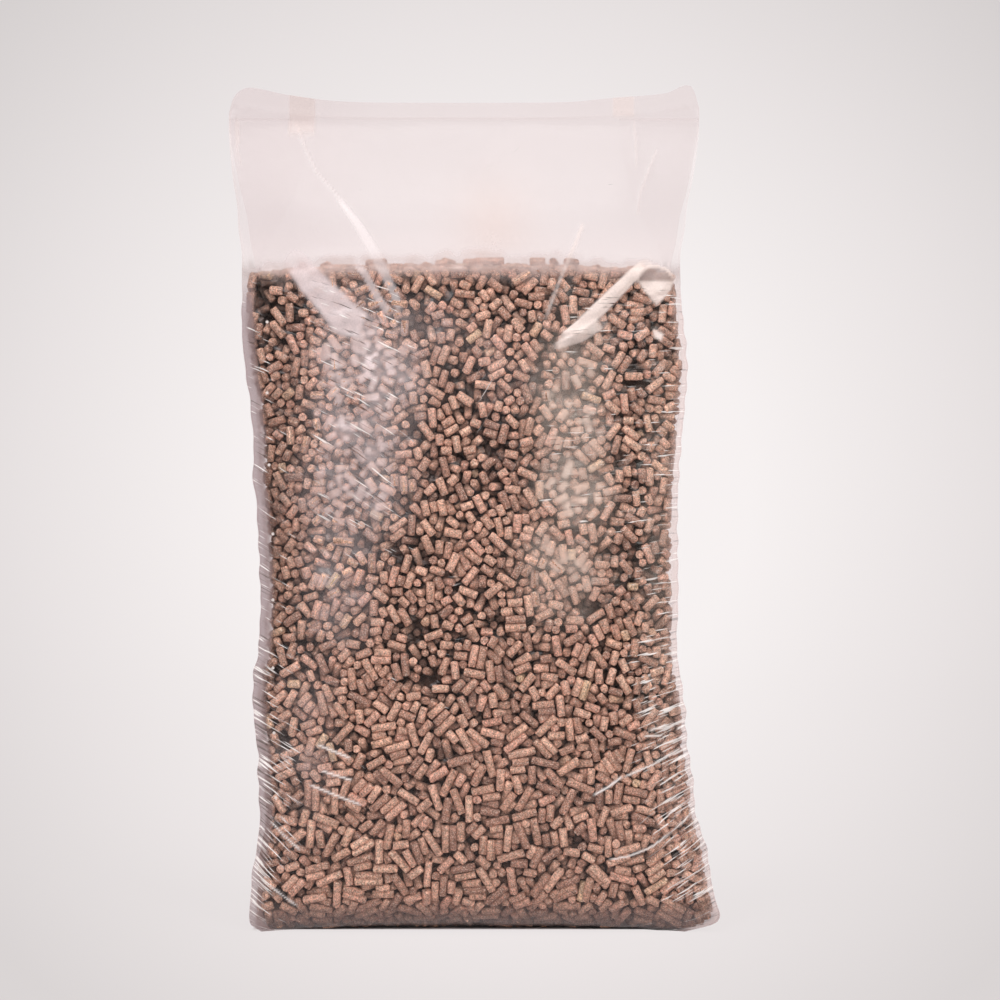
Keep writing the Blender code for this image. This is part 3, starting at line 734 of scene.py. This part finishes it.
def random_wrinkles():
    """Short creases where the film is gathered: at both upright edges, lower corners and flanks."""
    draw = np.random.default_rng(31)
    found = []

    def add(x, z, slope, length, width, rise):
        dx = length / math.hypot(1, slope)
        bend = draw.normal(0, 0.06) * length
        middle = (x + dx / 2, z + slope * dx / 2 + bend)
        found.append((((x, z), middle, (x + dx, z + slope * dx)), width, rise))

    def add_gathered(x, z, fan, length, widest, highest):
        add(x, z, fan + draw.normal(0, 0.12), length, draw.uniform(0.0011, widest),
            draw.choice([-1, 1], p=[0.3, 0.7]) * draw.uniform(0.0003, highest))

    for _ in range(210):
        z = draw.uniform(0.018, 0.45)
        edge = float(np.interp(z, LEVELS, AT_LEVELS["right"]))
        fan = np.interp(z, [0, 0.05, 0.12, 0.2, 0.45], [0.45, 0.65, 0.35, 0.08, 0.0])
        reach = draw.uniform(0.006, 0.030)
        add_gathered(edge - reach - draw.uniform(0.001, 0.012), z, fan, reach, 0.0017, 0.0010)
    for _ in range(140):
        z = draw.uniform(0.016, 0.43) ** 1.15 * 1.1
        edge = float(np.interp(z, LEVELS, AT_LEVELS["left"]))
        fan = np.interp(z, [0, 0.05, 0.11, 0.2, 0.45], [-0.7, -0.85, -0.55, -0.25, 0.0])
        reach = draw.uniform(0.006, 0.026)
        add_gathered(-edge + draw.uniform(0.001, 0.008), z, fan, reach, 0.0016, 0.0008)
    for count, across, up, slope, *sizes in FLANK_WRINKLES:
        for _ in range(count):
            add(draw.uniform(*across), draw.uniform(*up), draw.normal(*slope),
                *(draw.uniform(*size) for size in sizes))
    return found


def weld_line(x):
    """Height of the weld's lower edge, which rises towards the corners."""
    return WELD_HEIGHT + 0.003 * (np.abs(x + WELD_SHIFT) / 0.125) ** 4


def front_milk_and_painted_light(x, z, behind, apart):
    """The milkiness of the front, with light and shade painted into it: painted highlights on the bands,
    creases and facets, painted sheen, the fogged top, painted shade at the foot and the left edge, and a
    painted contact shadow along the bottom.
    """
    milk_and_painted_light = MilkAndPaintedLight(x, z)
    head = eased(z, FILL_HEIGHT, FILL_HEIGHT + 0.02)
    uneven = waves(x, z, 5, 130)
    fine = waves(x, z, 6, 420, 24)
    milk_and_painted_light.over(0.004 + 0.034 * head, PALE)
    milk_and_painted_light.over(np.clip(0.48 + 0.12 * fine, 0, 1) * eased(z + 0.0018 * uneven, 0.4520, 0.4680) * behind, FOG)
    milk_and_painted_light.over(0.17 * within(z, (0.4590, 0.4680), (0.4690, 0.5050)), (0.80, 0.68, 0.67))
    milk_and_painted_light.over(0.13 * head * (1 - eased(x, -0.11, -0.06)), (0.50, 0.39, 0.40))
    patchy = np.clip(1 + 0.30 * uneven + 0.14 * fine, 0, 2) * (1.15 - 0.60 * apart)
    below_top = 1 - eased(z, 0.455, 0.462)
    # soft patches of painted sheen where the lamps would be seen on the film, and one of painted shade by the
    # left edge
    for (px, pz), (wide, high), much, colour in PAINTED_SHEEN_AND_SHADE:
        away = ((x - px) / wide) ** 2 + ((z - pz) / high) ** 2
        milk_and_painted_light.over(much * np.exp(-away ** 1.5) * patchy * below_top, colour)
    # painted shade at the foot, where the film curves under towards the floor
    milk_and_painted_light.over(0.50 * (1 - eased(z, 0.003, 0.030)), (0.22, 0.165, 0.16))
    # a painted contact shadow along the very bottom of the front, near black
    under = (1 - eased(z, 0.0012, 0.0026)) * within(x, (-0.105, -0.080), (0.160, 0.174))
    milk_and_painted_light.over(0.92 * under, (0.012, 0.008, 0.008))
    milk_and_painted_light.over(0.020 * (1 - eased(z, 0.05, 0.16)), (0.62, 0.52, 0.51))
    warm = np.exp(-((x - 0.019) / 0.026) ** 2 - ((z - 0.497) / 0.032) ** 2)
    milk_and_painted_light.over(0.30 * warm * head, (0.56, 0.40, 0.35))
    # painted highlights and reflections along the creases, bands and facets, and dark lines along creases and
    # folds
    for stroke in STROKES:
        milk_and_painted_light.stroke(*stroke)
    # the pouch: its top darker, with painted reflections on its facets and rim
    milk_and_painted_light.patch(POUCH_TOP, (0.40, 0.31, 0.29), 0.62)
    for corners in POUCH_FACETS:
        milk_and_painted_light.patch(corners, BAND_CREAM, 0.90)
    milk_and_painted_light.stroke(POUCH_RIM, 0.0012, BAND_CREAM, 0.70)
    # painted glints along the long wrinkles
    for path, width, _ in LONG_WRINKLES:
        milk_and_painted_light.stroke(path, 0.48 * width, GLINT, 0.74, 0.6)
    weld = weld_line(x)
    milk_and_painted_light.over(0.06 * eased(z, weld - 0.0004, weld + 0.0008), (0.88, 0.83, 0.83))
    milk_and_painted_light.over(0.13 * within(x, (-0.128, -0.120), (0.102, 0.110)) * np.exp(-((z - weld) / 0.0006) ** 2), LINE)
    left_double = within(x, (-0.1300, -0.1290), (-0.1115, -0.1095)) * eased(z, 0.562, 0.572)
    milk_and_painted_light.over(0.34 * left_double, (0.56, 0.43, 0.39))
    milk_and_painted_light.over(0.22 * within(x, (0.1035, 0.1050), (0.1190, 0.1208)) * eased(z, 0.578, 0.583), TAN)
    from_left, from_right = x - x[:, :1], x[:, -1:] - x
    # painted shade along the left edge, where the film's side lies in shade, and a painted shadow just inside
    # it
    painted_edge_shade = (1 - eased(from_left, 0.0050, 0.0105)) * (0.60 + 0.40 * eased(z, 0.01, 0.10))
    milk_and_painted_light.over(0.80 * painted_edge_shade * (1 - eased(z, 0.43, 0.47)), PAINTED_EDGE_SHADE)
    shadow = within(from_left + 0.0008 * waves(x, z, 15, 260), (0.0025, 0.0055), (0.0075, 0.0110))
    milk_and_painted_light.over(0.55 * shadow * (1 - eased(z, 0.43, 0.46)), (0.27, 0.185, 0.175))
    pink = (1 - eased(from_right, 0.0010, 0.0095)) * (1 - eased(z, 0.44, 0.47))
    milk_and_painted_light.over(0.42 * pink, (0.84, 0.66, 0.63))
    rim = np.clip(1 - np.minimum(from_left, from_right) / 0.0014, 0, 1) * (z > FILL_HEIGHT)
    milk_and_painted_light.over(0.18 * rim, (0.70, 0.58, 0.56))
    return milk_and_painted_light


def side_milk_and_painted_shade(x, z, behind, in_head):
    """The milkiness of the back and side panels, with painted shade towards the foot."""
    milk_and_painted_light = MilkAndPaintedLight(x, z)
    head = eased(z, FILL_HEIGHT, FILL_HEIGHT + 0.02)
    uneven = waves(x, z, 8, 130)
    milk_and_painted_light.over(0.012 * (1 - head) + in_head * head, PALE)
    milk_and_painted_light.over(0.40 * eased(z + 0.0014 * uneven, 0.4555, 0.4665) * behind, FOG)
    milk_and_painted_light.over(np.clip(0.04 * uneven, 0, 1) * (1 - head), PALE)
    # painted shade towards the foot
    milk_and_painted_light.over(0.16 * (1 - eased(z, 0.004, 0.030)), (0.33, 0.27, 0.27))
    milk_and_painted_light.over(0.10 * np.exp(-((z - weld_line(x)) / 0.0006) ** 2), LINE)
    return milk_and_painted_light


def gathers(x, z, side):
    """Which way the film's fine creases run on a smooth panel, and how many there are, which sets how many
    painted glints and streaks of painted shade they show.
    """
    right, left = x[:, -1:], x[:, :1]
    rising = np.interp(z, (0, 0.05, 0.12, 0.20, 0.30, 0.45), (0.45, 0.62, 0.42, 0.18, 0.08, 0.0))
    falling = np.interp(z, (0, 0.05, 0.11, 0.20, 0.30, 0.45), (-0.7, -0.85, -0.60, -0.50, -0.65, -0.30))
    share = eased(x, -0.02, 0.05)
    across = z - (1 - share) * falling * (x - left) - share * rising * (x - right)
    tall = np.interp(z, (0, 0.02, 0.16, 0.22, 0.45), (0.5, 1.0, 1.0, 0.75, 0.60))
    much = np.maximum.reduce([
        1.16 * (1 - eased(right - x, 0.012, 0.066)) * tall,
        1.02 * (1 - eased(x - left, 0.010, 0.050)) * tall,
        0.76 * within(x, (-0.13, -0.10), (-0.055, -0.02)) * eased(z, 0.20, 0.30),
        0.60 * eased(x, 0.03, 0.06) * eased(z, 0.22, 0.30),
        np.full(x.shape, 0.20),
    ]) * (1 - eased(z, FILL_HEIGHT - 0.014, FILL_HEIGHT))
    return {
        "flow_along": x * 45, "flow_across": across * 520 + 90 * side,
        "painted_glint_and_shade_amount": much if side < 0 else 0.7 * much,
    }


def filled_part(z):
    return 1 - eased(z, FILL_HEIGHT - 0.004, FILL_HEIGHT + 0.012)


def drawn_to(air, cells, most):
    """How far the film is drawn in towards what lies behind it."""
    return np.clip(blurred(shrunk(air, cells), cells + 1) - 0.0002, 0, most)


def nothing_behind(air, times):
    return blurred((air > FURTHEST * 0.98).astype(float), times)


def panel_relief(x, z, side):
    """Creases and slack of the front or back panel."""
    places = random_wrinkles()
    if side > 0:
        places = [([(-px, pz) for px, pz in path], width * 1.4, rise) for path, width, rise in places]
    else:
        places += LONG_WRINKLES
    slack = 0.0005 * waves(x, z, 12, 60) * within(z, (0.01, 0.05), (0.56, 0.578))
    relief = ridges(x, z, places) + slack
    if side < 0:
        relief += ridges(x, z, [
            (LEFT_CREASE, 0.0030, 0.00012), (SECOND_BAND, 0.0025, 0.0006),
            (RIGHT_LINE, 0.0022, 0.0007), (RIGHT_BAND, 0.0045, 0.0016), (RIGHT_FACET, 0.0035, 0.0012),
            (RIGHT_CREASES[0], 0.0018, 0.0003), (RIGHT_CREASES[1], 0.0018, 0.0003),
            (POUCH_RIM, 0.0016, 0.0012),
        ])
    margin = eased(np.minimum(x - x[:, :1], x[:, -1:] - x), 0, 0.004)
    return relief * margin * (1 - eased(z, 0.570, 0.579))


def panel_piece(tree, side, name, columns, rows_body, rows_head, rows_fin):
    """The front (side -1) or back (side 1) of the film, drawn onto the pellets."""
    panel = panel_grid(side, columns, rows_body, rows_head, rows_fin)
    air = air_behind(panel, (0, -side, 0), tree, FURTHEST)
    x, z = panel[..., 0], panel[..., 2]
    drawn_in = drawn_to(air, 3 if side < 0 else 2, 0.0022) * filled_part(z)
    panel[..., 1] += side * (panel_relief(x, z, side) - drawn_in)
    depth = np.abs(panel[..., 1])
    panel[..., 1] = side * np.maximum(depth, np.minimum(depth, 0.0008) + 0.0002)
    behind = 1 - nothing_behind(air, 3)
    apart = eased(blurred(air, 1), 0.0014, 0.0046)
    # the milkiness, with light and shade painted into it
    milk_and_painted_light = front_milk_and_painted_light(x, z, behind, apart) if side < 0 else side_milk_and_painted_shade(x, z, behind, 0.04)
    at_shoulder = 1 - 0.85 * within(z, (0.448, 0.462), (0.492, 0.515))
    touching = 1 - 0.55 * (1 - eased(z, FILL_HEIGHT - 0.012, FILL_HEIGHT))
    looks = {
        "film": np.ones(x.shape), "shine": at_shoulder * touching * (1 - 0.72 * eased(z, 0.480, 0.510)),
        **gathers(x, z, side), **milk_and_painted_light.layers(),
    }
    return grid_mesh(name, panel, looks, flip=side > 0)


def gusset_piece(tree, hand, name):
    """The film's folded left (hand -1) or right (hand 1) side, drawn onto the pellets."""
    gusset = gusset_grid(hand, 44, 190, 48)
    air = air_behind(gusset, (-hand, 0, 0), tree, FURTHEST)
    y, z = gusset[..., 1], gusset[..., 2]
    margin = eased(np.minimum(y - y[:, :1], y[:, -1:] - y), 0, 0.006) * filled_part(z)
    gusset[..., 0] += hand * margin * (0.0007 * waves(y, z, 21 + hand, 160) - drawn_to(air, 2, 0.003))
    milk_and_painted_light = side_milk_and_painted_shade(y, z, 1 - nothing_behind(air, 2), 0.0)
    head = eased(z, FILL_HEIGHT - 0.012, FILL_HEIGHT + 0.012)
    looks = {
        "film": 1 - 0.92 * head, "shine": 0.45 * (1 - 0.92 * head), "painted_glint_and_shade_amount": 0.45 * (1 - head),
        "flow_along": y * 45, "flow_across": z * 420, **milk_and_painted_light.layers(),
    }
    return grid_mesh(name, gusset, looks, flip=hand < 0)


def base_piece():
    base = base_grid(60, 24)
    milk_and_painted_light = MilkAndPaintedLight(base[..., 0], base[..., 1])
    one = np.ones(base.shape[:2])
    milk_and_painted_light.over(0.12 * one, PALE)
    looks = {
        "film": one, "shine": one, "painted_glint_and_shade_amount": 0 * one,
        "flow_along": base[..., 1] * 45, "flow_across": base[..., 0] * 420, **milk_and_painted_light.layers(),
    }
    return grid_mesh("film_base", base, looks, flip=True)


def film_pieces(tree):
    return [
        panel_piece(tree, -1, "film_front", 200, 364, 90, 14),
        panel_piece(tree, 1, "film_back", 120, 190, 48, 6),
        gusset_piece(tree, -1, "film_left"),
        gusset_piece(tree, 1, "film_right"),
        base_piece(),
    ]

RIM_RADIUS, RIM_WIDTH, RIM_HEIGHT, RIM_STANDOFF = 0.0007, 0.00035, 0.00030, 0.0001


def vent_rims():
    """The little melted rims around the pricked air vents."""
    sides, ring = 14, 6
    turn = 2 * np.pi * np.arange(sides)[:, None] / sides
    roll = 2 * np.pi * np.arange(ring) / ring
    radius = RIM_RADIUS + RIM_WIDTH * np.cos(roll)
    x, z = np.array(VENTS).T[:, :, None, None]
    y = -panel_depth(x, z) - RIM_STANDOFF
    points = np.stack(np.broadcast_arrays(
        x + radius * np.cos(turn), y + RIM_HEIGHT * np.sin(roll), z + radius * np.sin(turn),
    ), -1)
    here = np.arange(sides * ring).reshape(sides, ring)
    next_roll = np.roll(here, -1, axis=1)
    quads = np.stack([here, next_roll, np.roll(next_roll, -1, axis=0), np.roll(here, -1, axis=0)], -1)
    quads = (quads.reshape(-1, 4) + here.size * np.arange(len(VENTS))[:, None, None]).reshape(-1, 4)
    return mesh_piece("vent_rims", points, quads, np.full(len(quads), 4), np.ones(len(quads), bool), {})


# Materials


def added(tree, kind, inputs=None, **settings):
    """A new shader node, with a plain value or another node's output for each named input."""
    node = tree.nodes.new("ShaderNode" + kind)
    for name, value in settings.items():
        setattr(node, name, value)
    for key, value in (inputs or {}).items():
        if isinstance(value, bpy.types.NodeSocket):
            tree.links.new(value, node.inputs[key])
        else:
            node.inputs[key].default_value = value
    return node


def new_tree(name):
    material = bpy.data.materials.new(name)
    material.use_nodes = True
    material.node_tree.nodes.clear()
    return material, material.node_tree


def attribute(tree, name, output="Fac"):
    return added(tree, "Attribute", attribute_name=name).outputs[output]


def place_in_object(tree):
    return added(tree, "TexCoord").outputs["Object"]


def maths(tree, operation, *inputs, clamp=False):
    return added(tree, "Math", dict(enumerate(inputs)), operation=operation, use_clamp=clamp).outputs[0]


def beyond(tree, value, start, steepness):
    """0 up to where value is start, then rising to 1."""
    return maths(tree, "MULTIPLY", maths(tree, "SUBTRACT", value, start), steepness, clamp=True)


def noise(tree, vector, scale, detail, roughness=0.5):
    inputs = {"Vector": vector, "Scale": scale, "Detail": detail, "Roughness": roughness}
    return added(tree, "TexNoise", inputs).outputs["Fac"]


def colour_mix(tree, share, low, high):
    """A colour between low, at share 0, and high, at share 1."""
    low, high = ((*value, 1) if isinstance(value, tuple) else value for value in (low, high))
    return added(tree, "Mix", {0: share, 6: low, 7: high}, data_type="RGBA").outputs[2]


def scaled(tree, vector, scale):
    return added(tree, "VectorMath", {0: vector, "Scale": scale}, operation="SCALE").outputs[0]


def shader_mix(tree, share, low, high):
    return added(tree, "MixShader", {0: share, 1: low, 2: high}).outputs[0]


def colour_ramp(tree, share, stops):
    ramp = added(tree, "ValToRGB", {"Fac": share})
    for place, _ in stops[1:-1]:
        ramp.color_ramp.elements.new(place)
    for element, (place, colour) in zip(ramp.color_ramp.elements, stops):
        element.position = place
        element.color = (*colour, 1)
    return ramp.outputs["Color"]


def bump(tree, height, distance, strength=1.0, invert=False):
    inputs = {"Height": height, "Distance": distance, "Strength": strength}
    return added(tree, "Bump", inputs, invert=invert).outputs[0]


def painted(tree, colour, roughness, normal=None):
    inputs = {"Base Color": colour, "Roughness": roughness}
    if normal:
        inputs["Normal"] = normal
    return added(tree, "BsdfPrincipled", inputs).outputs[0]


FILM_TINT = (0.966, 0.936, 0.936)
MOST_SHINE = 0.20
RIM_STOPS = ((0.0, (0.80, 0.70, 0.66)), (1.0, (1.0, 0.95, 0.92)))
WOOD_STOPS = (
    (0.0, (0.36, 0.190, 0.136)), (0.25, (0.52, 0.286, 0.202)), (0.5, (0.63, 0.368, 0.262)),
    (0.75, (0.76, 0.466, 0.340)), (0.97, (0.70, 0.380, 0.280)), (1.0, (0.72, 0.51, 0.33)),
)
CORE_SHADE_STOPS = ((0.0, (0.10, 0.052, 0.036)), (1.0, (0.02, 0.010, 0.007)))
PAPER_AND_FALLOFF_STOPS = (
    (0.0, (0.985, 0.940, 0.936)), (0.36, (0.965, 0.922, 0.918)),
    (0.68, (0.842, 0.798, 0.797)), (1.0, (0.700, 0.664, 0.662)),
)
SPECKLE_LOW, SPECKLE_HIGH = 0.40, 0.60  # what the noise mostly lies between
PALE_FLECK_AND_HIGHLIGHT = (0.90, 0.75, 0.63)
PAINTED_DEPTH_SHADE = (0.030, 0.014, 0.010)


def film_material():
    """Clear film, with milkiness painted in places, fine creases that catch the light through a bump on the
    gloss, and painted glints and streaks of painted shade along the creases.
    """
    material, tree = new_tree("clear_film")
    tint = colour_mix(tree, attribute(tree, "film"), (1, 1, 1), FILM_TINT)
    clear = added(tree, "BsdfTransparent", {"Color": tint}).outputs[0]
    flow = {"X": attribute(tree, "flow_along"), "Y": attribute(tree, "flow_across")}
    creases = noise(tree, added(tree, "CombineXYZ", flow).outputs[0], 1.0, 2.0)
    painted_glint_and_shade_amount = attribute(tree, "painted_glint_and_shade_amount")
    # painted glints, near white, where the crease noise runs high, and painted shade streaks where it runs
    # low
    glint = beyond(tree, creases, maths(tree, "MULTIPLY_ADD", painted_glint_and_shade_amount, -0.190, 0.760), 16.0)
    shade = beyond(tree, maths(tree, "MULTIPLY_ADD", painted_glint_and_shade_amount, 0.190, 0.240), creases, 12.0)
    uneven = maths(tree, "MULTIPLY_ADD", noise(tree, place_in_object(tree), 900.0, 2.0), 0.36, 0.82)
    # the milkiness with the painted sheen and shade laid in, then the painted glints and shade streaks over
    # it
    haze_and_painted_light = maths(tree, "MULTIPLY", attribute(tree, "haze_and_painted_light"), uneven, clamp=True)
    haze_and_painted_light = maths(tree, "MAXIMUM", haze_and_painted_light, maths(tree, "MULTIPLY", glint, GLINT_SHARE))
    haze_and_painted_light = maths(tree, "MAXIMUM", haze_and_painted_light, maths(tree, "MULTIPLY", shade, SHADE_SHARE))
    colour = colour_mix(tree, shade, attribute(tree, "milk_and_painted_light", "Color"), SHADE)
    milky_with_painted_glints = painted(tree, colour_mix(tree, glint, colour, GLINT), 0.5)
    normal = bump(tree, creases, 0.0008, 0.5)
    gloss = added(tree, "BsdfGlossy", {"Color": (1, 1, 1, 1), "Roughness": 0.22, "Normal": normal}).outputs[0]
    shine = maths(tree, "MINIMUM", added(tree, "Fresnel", {"IOR": 1.36}).outputs[0], MOST_SHINE)
    shine = maths(tree, "MULTIPLY", shine, attribute(tree, "shine"))
    surface = shader_mix(tree, shine, shader_mix(tree, haze_and_painted_light, clear, milky_with_painted_glints), gloss)
    added(tree, "OutputMaterial", {"Surface": surface})
    return material


def rim_material():
    material, tree = new_tree("melted_film")
    colour = colour_ramp(tree, noise(tree, place_in_object(tree), 900, 2.0), RIM_STOPS)
    added(tree, "OutputMaterial", {"Surface": painted(tree, colour, 0.3)})
    return material


def pellet_material(name, loose):
    """Pressed sawdust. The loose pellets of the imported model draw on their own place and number."""
    material, tree = new_tree(name)
    if loose:
        tone = added(tree, "ObjectInfo").outputs["Random"]
        grain = scaled(tree, place_in_object(tree), 1 / PELLET_RADIUS)
    else:
        tone = attribute(tree, "tone")
        grain = attribute(tree, "grain", "Vector")
    colour = colour_ramp(tree, tone, WOOD_STOPS)
    for scale, least, most in ((0.9, 0.66, 1.36), (2.3, 0.50, 1.46)):
        speckle = noise(tree, grain, scale, 6.0, 0.72)
        steep = (most - least) / (SPECKLE_HIGH - SPECKLE_LOW)
        shift = maths(tree, "MULTIPLY_ADD", speckle, steep, least - SPECKLE_LOW * steep)
        colour = scaled(tree, colour, maths(tree, "MINIMUM", maths(tree, "MAXIMUM", shift, least), most))
    # pale flecks of sawdust, which also serve as painted highlights on the pellets
    pale = beyond(tree, noise(tree, grain, 3.1, 3.0), 0.550, 11.0)
    colour = colour_mix(tree, maths(tree, "MULTIPLY", pale, 0.70), colour, PALE_FLECK_AND_HIGHLIGHT)
    if not loose:
        # painted shade on the pellets lying deeper in
        colour = colour_mix(tree, maths(tree, "MULTIPLY", attribute(tree, "painted_depth_shade"), 0.86), colour, PAINTED_DEPTH_SHADE)
    added(tree, "OutputMaterial", {"Surface": painted(tree, colour, 0.5, bump(tree, speckle, 0.0012))})
    return material


def core_material():
    """The pellets further in, painted dark for the shade they lie in, since little light gets there."""
    material, tree = new_tree("pressed_wood_within")
    cells = added(tree, "TexVoronoi", {"Vector": place_in_object(tree), "Scale": 160}).outputs["Distance"]
    surface = painted(tree, colour_ramp(tree, cells, CORE_SHADE_STOPS), 0.9, bump(tree, cells, 0.002, invert=True))
    added(tree, "OutputMaterial", {"Surface": surface})
    return material


def stage_material():
    """Pale paper that glows a little towards its middle, with a painted falloff of light that darkens it
    further out, and shows shade only under the bag.
    """
    material, tree = new_tree("pale_backdrop")
    x, y, z = added(tree, "SeparateXYZ", {0: place_in_object(tree)}).outputs
    far = maths(tree, "ADD", y, -CAMERA_PLACE[1])
    wide = maths(tree, "DIVIDE", maths(tree, "SUBTRACT", x, 0.025), far)
    high = maths(tree, "DIVIDE", maths(tree, "SUBTRACT", z, 0.325), far)
    squares = maths(tree, "ADD", maths(tree, "POWER", wide, 2.0), maths(tree, "POWER", high, 2.0))
    radius = maths(tree, "SQRT", squares)
    # painted falloff of light: the paper darker the further out
    colour = colour_ramp(tree, maths(tree, "MULTIPLY", radius, 3.4), PAPER_AND_FALLOFF_STOPS)
    paint = added(tree, "BsdfDiffuse", {"Color": colour}).outputs[0]
    glow = added(tree, "Emission", {"Color": colour}).outputs[0]
    path = added(tree, "LightPath").outputs
    seen = maths(tree, "MAXIMUM", path["Is Camera Ray"], path["Is Glossy Ray"])
    seen = maths(tree, "MAXIMUM", seen, path["Is Transmission Ray"])
    beside = beyond(tree, maths(tree, "ABSOLUTE", x), 0.150, 400.0)
    before = beyond(tree, maths(tree, "ABSOLUTE", y), 0.036, 400.0)
    clear_of_bag = maths(tree, "MAXIMUM", beside, before)
    share = maths(tree, "MULTIPLY", maths(tree, "MULTIPLY", seen, 0.93), clear_of_bag)
    added(tree, "OutputMaterial", {"Surface": shader_mix(tree, share, paint, glow)})
    return material


def backdrop():
    """A floor that curves up into a wall behind the bag."""
    half, near, far, bend, height = 4.0, -4.0, 2.9, 0.8, 4.5
    profile = [(near, 0.0), (far - bend, 0.0)]
    profile += [
        (far - bend + bend * math.sin(turn), bend - bend * math.cos(turn))
        for turn in np.linspace(0, math.pi / 2, 24)[1:]
    ]
    profile.append((far, height))
    points = np.array([[(x, y, z) for x in (-half, half)] for y, z in profile])
    piece = grid_mesh("floor", points, {})
    piece.data.materials.append(stage_material())


def area_light(name, place, target, width, height, power, colour):
    lamp = bpy.data.lights.new(name, "AREA")
    lamp.shape = "RECTANGLE"
    lamp.size = width
    lamp.size_y = height
    lamp.energy = power
    lamp.color = colour
    obj = bpy.data.objects.new(name, lamp)
    obj.location = place
    obj.rotation_euler = (Vector(target) - Vector(place)).to_track_quat("-Z", "Y").to_euler()
    bpy.context.collection.objects.link(obj)


def lights():
    target = (0, 0, 0.34)
    area_light("left_box", (-0.62, -1.45, 1.15), target, 0.36, 0.36, 9.8, (0.98, 0.97, 1.0))
    area_light("right_box", (0.72, -1.45, 0.95), target, 0.32, 0.36, 8.2, (1.0, 0.985, 0.955))
    area_light("top_box", (-0.1, -0.60, 2.2), target, 1.2, 0.8, 26, (1.0, 0.99, 0.98))
    area_light("low_box", (0.1, -2.2, 0.12), (0, 0, 0.1), 1.2, 0.3, 3.0, (1.0, 0.98, 0.97))
    world = bpy.data.worlds.new("pale_world")
    world.use_nodes = True
    tree = world.node_tree
    ground = tree.nodes["Background"].inputs
    ground["Color"].default_value = (0.93, 0.90, 0.895, 1)
    seen = added(tree, "LightPath").outputs["Is Camera Ray"]
    tree.links.new(maths(tree, "MULTIPLY_ADD", seen, 0.78, 0.21), ground["Strength"])
    bpy.context.scene.world = world


def camera():
    lens = bpy.data.cameras.new("camera")
    lens.lens = CAMERA_LENS
    obj = bpy.data.objects.new("camera", lens)
    obj.location = CAMERA_PLACE
    obj.rotation_euler = (math.pi / 2, 0, 0)
    bpy.context.collection.objects.link(obj)
    bpy.context.scene.camera = obj


def litter_core():
    """The pellets further in, as one body painted dark for shade, behind the single ones."""
    rows, columns = 60, 96
    inset = SHELL - 0.002
    z = np.linspace(inset, FILL_HEIGHT - inset + 0.004, rows)[:, None]
    angle = np.linspace(0, 2 * np.pi, columns)[None]
    section = sections(z)
    across = np.sign(np.cos(angle)) * np.abs(np.cos(angle)) ** (2 / CORNER_POWER)
    along = np.sign(np.sin(angle)) * np.abs(np.sin(angle)) ** (2 / CORNER_POWER)
    room = np.maximum(0.006, section["tuck"]) + SKIN + inset
    x = across * (half_width_at(across, section) - room)
    y = along * (panel_depth(x, z) - SKIN - inset)
    wall = np.stack([x, y, np.broadcast_to(z, x.shape)], -1)
    closing = np.ones((7, 1, 3))
    closing[..., :2] = np.linspace(1, 0, 8)[1:, None, None]
    return grid_mesh("litter_core", np.concatenate([wall[:1] * closing[::-1], wall, wall[-1:] * closing]), {})


def keep(piece, material, slot, node):
    piece.data.materials.append(material)
    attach(piece, "root")
    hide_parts(node)


def main():
    wood = pellet_material("pressed_wood", False)
    a, b = packed_pellets()
    order = np.argsort((a + b)[:, 1], kind="stable")
    groups = np.array_split(order, 5)
    names = ("litter_front", "litter_front_half", "litter_middle", "litter_back_half", "litter_back")
    litter = []
    for number, (group, name) in enumerate(zip(groups, names)):
        sides = 8 if number < 3 else 6
        litter.append(pellet_mesh(name, a[group], b[group], SEED + number, sides))
        keep(litter[-1], wood, "pressed_wood", "litter_fill")
    keep(litter_core(), core_material(), "pressed_wood", "litter_fill")
    loose = pellet_material("pressed_wood_loose", True)
    laid = [node for name, node in sorted(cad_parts.items()) if name.startswith("pellet_")]
    for node in laid:
        node.data.materials.clear()
        node.data.materials.append(loose)
    verts, polys = [], []
    for piece in litter + laid:
        start = len(verts)
        verts.extend(vertex.co for vertex in piece.data.vertices)
        polys.extend(tuple(start + i for i in polygon.vertices) for polygon in piece.data.polygons)
    tree = BVHTree.FromPolygons(verts, polys)
    film = film_material()
    for piece in film_pieces(tree):
        keep(piece, film, "clear_film", "film_bag")
    keep(vent_rims(), rim_material(), "clear_film", "film_bag")
    backdrop()
    lights()
    camera()
    bpy.context.scene.view_settings.view_transform = "Standard"


main()
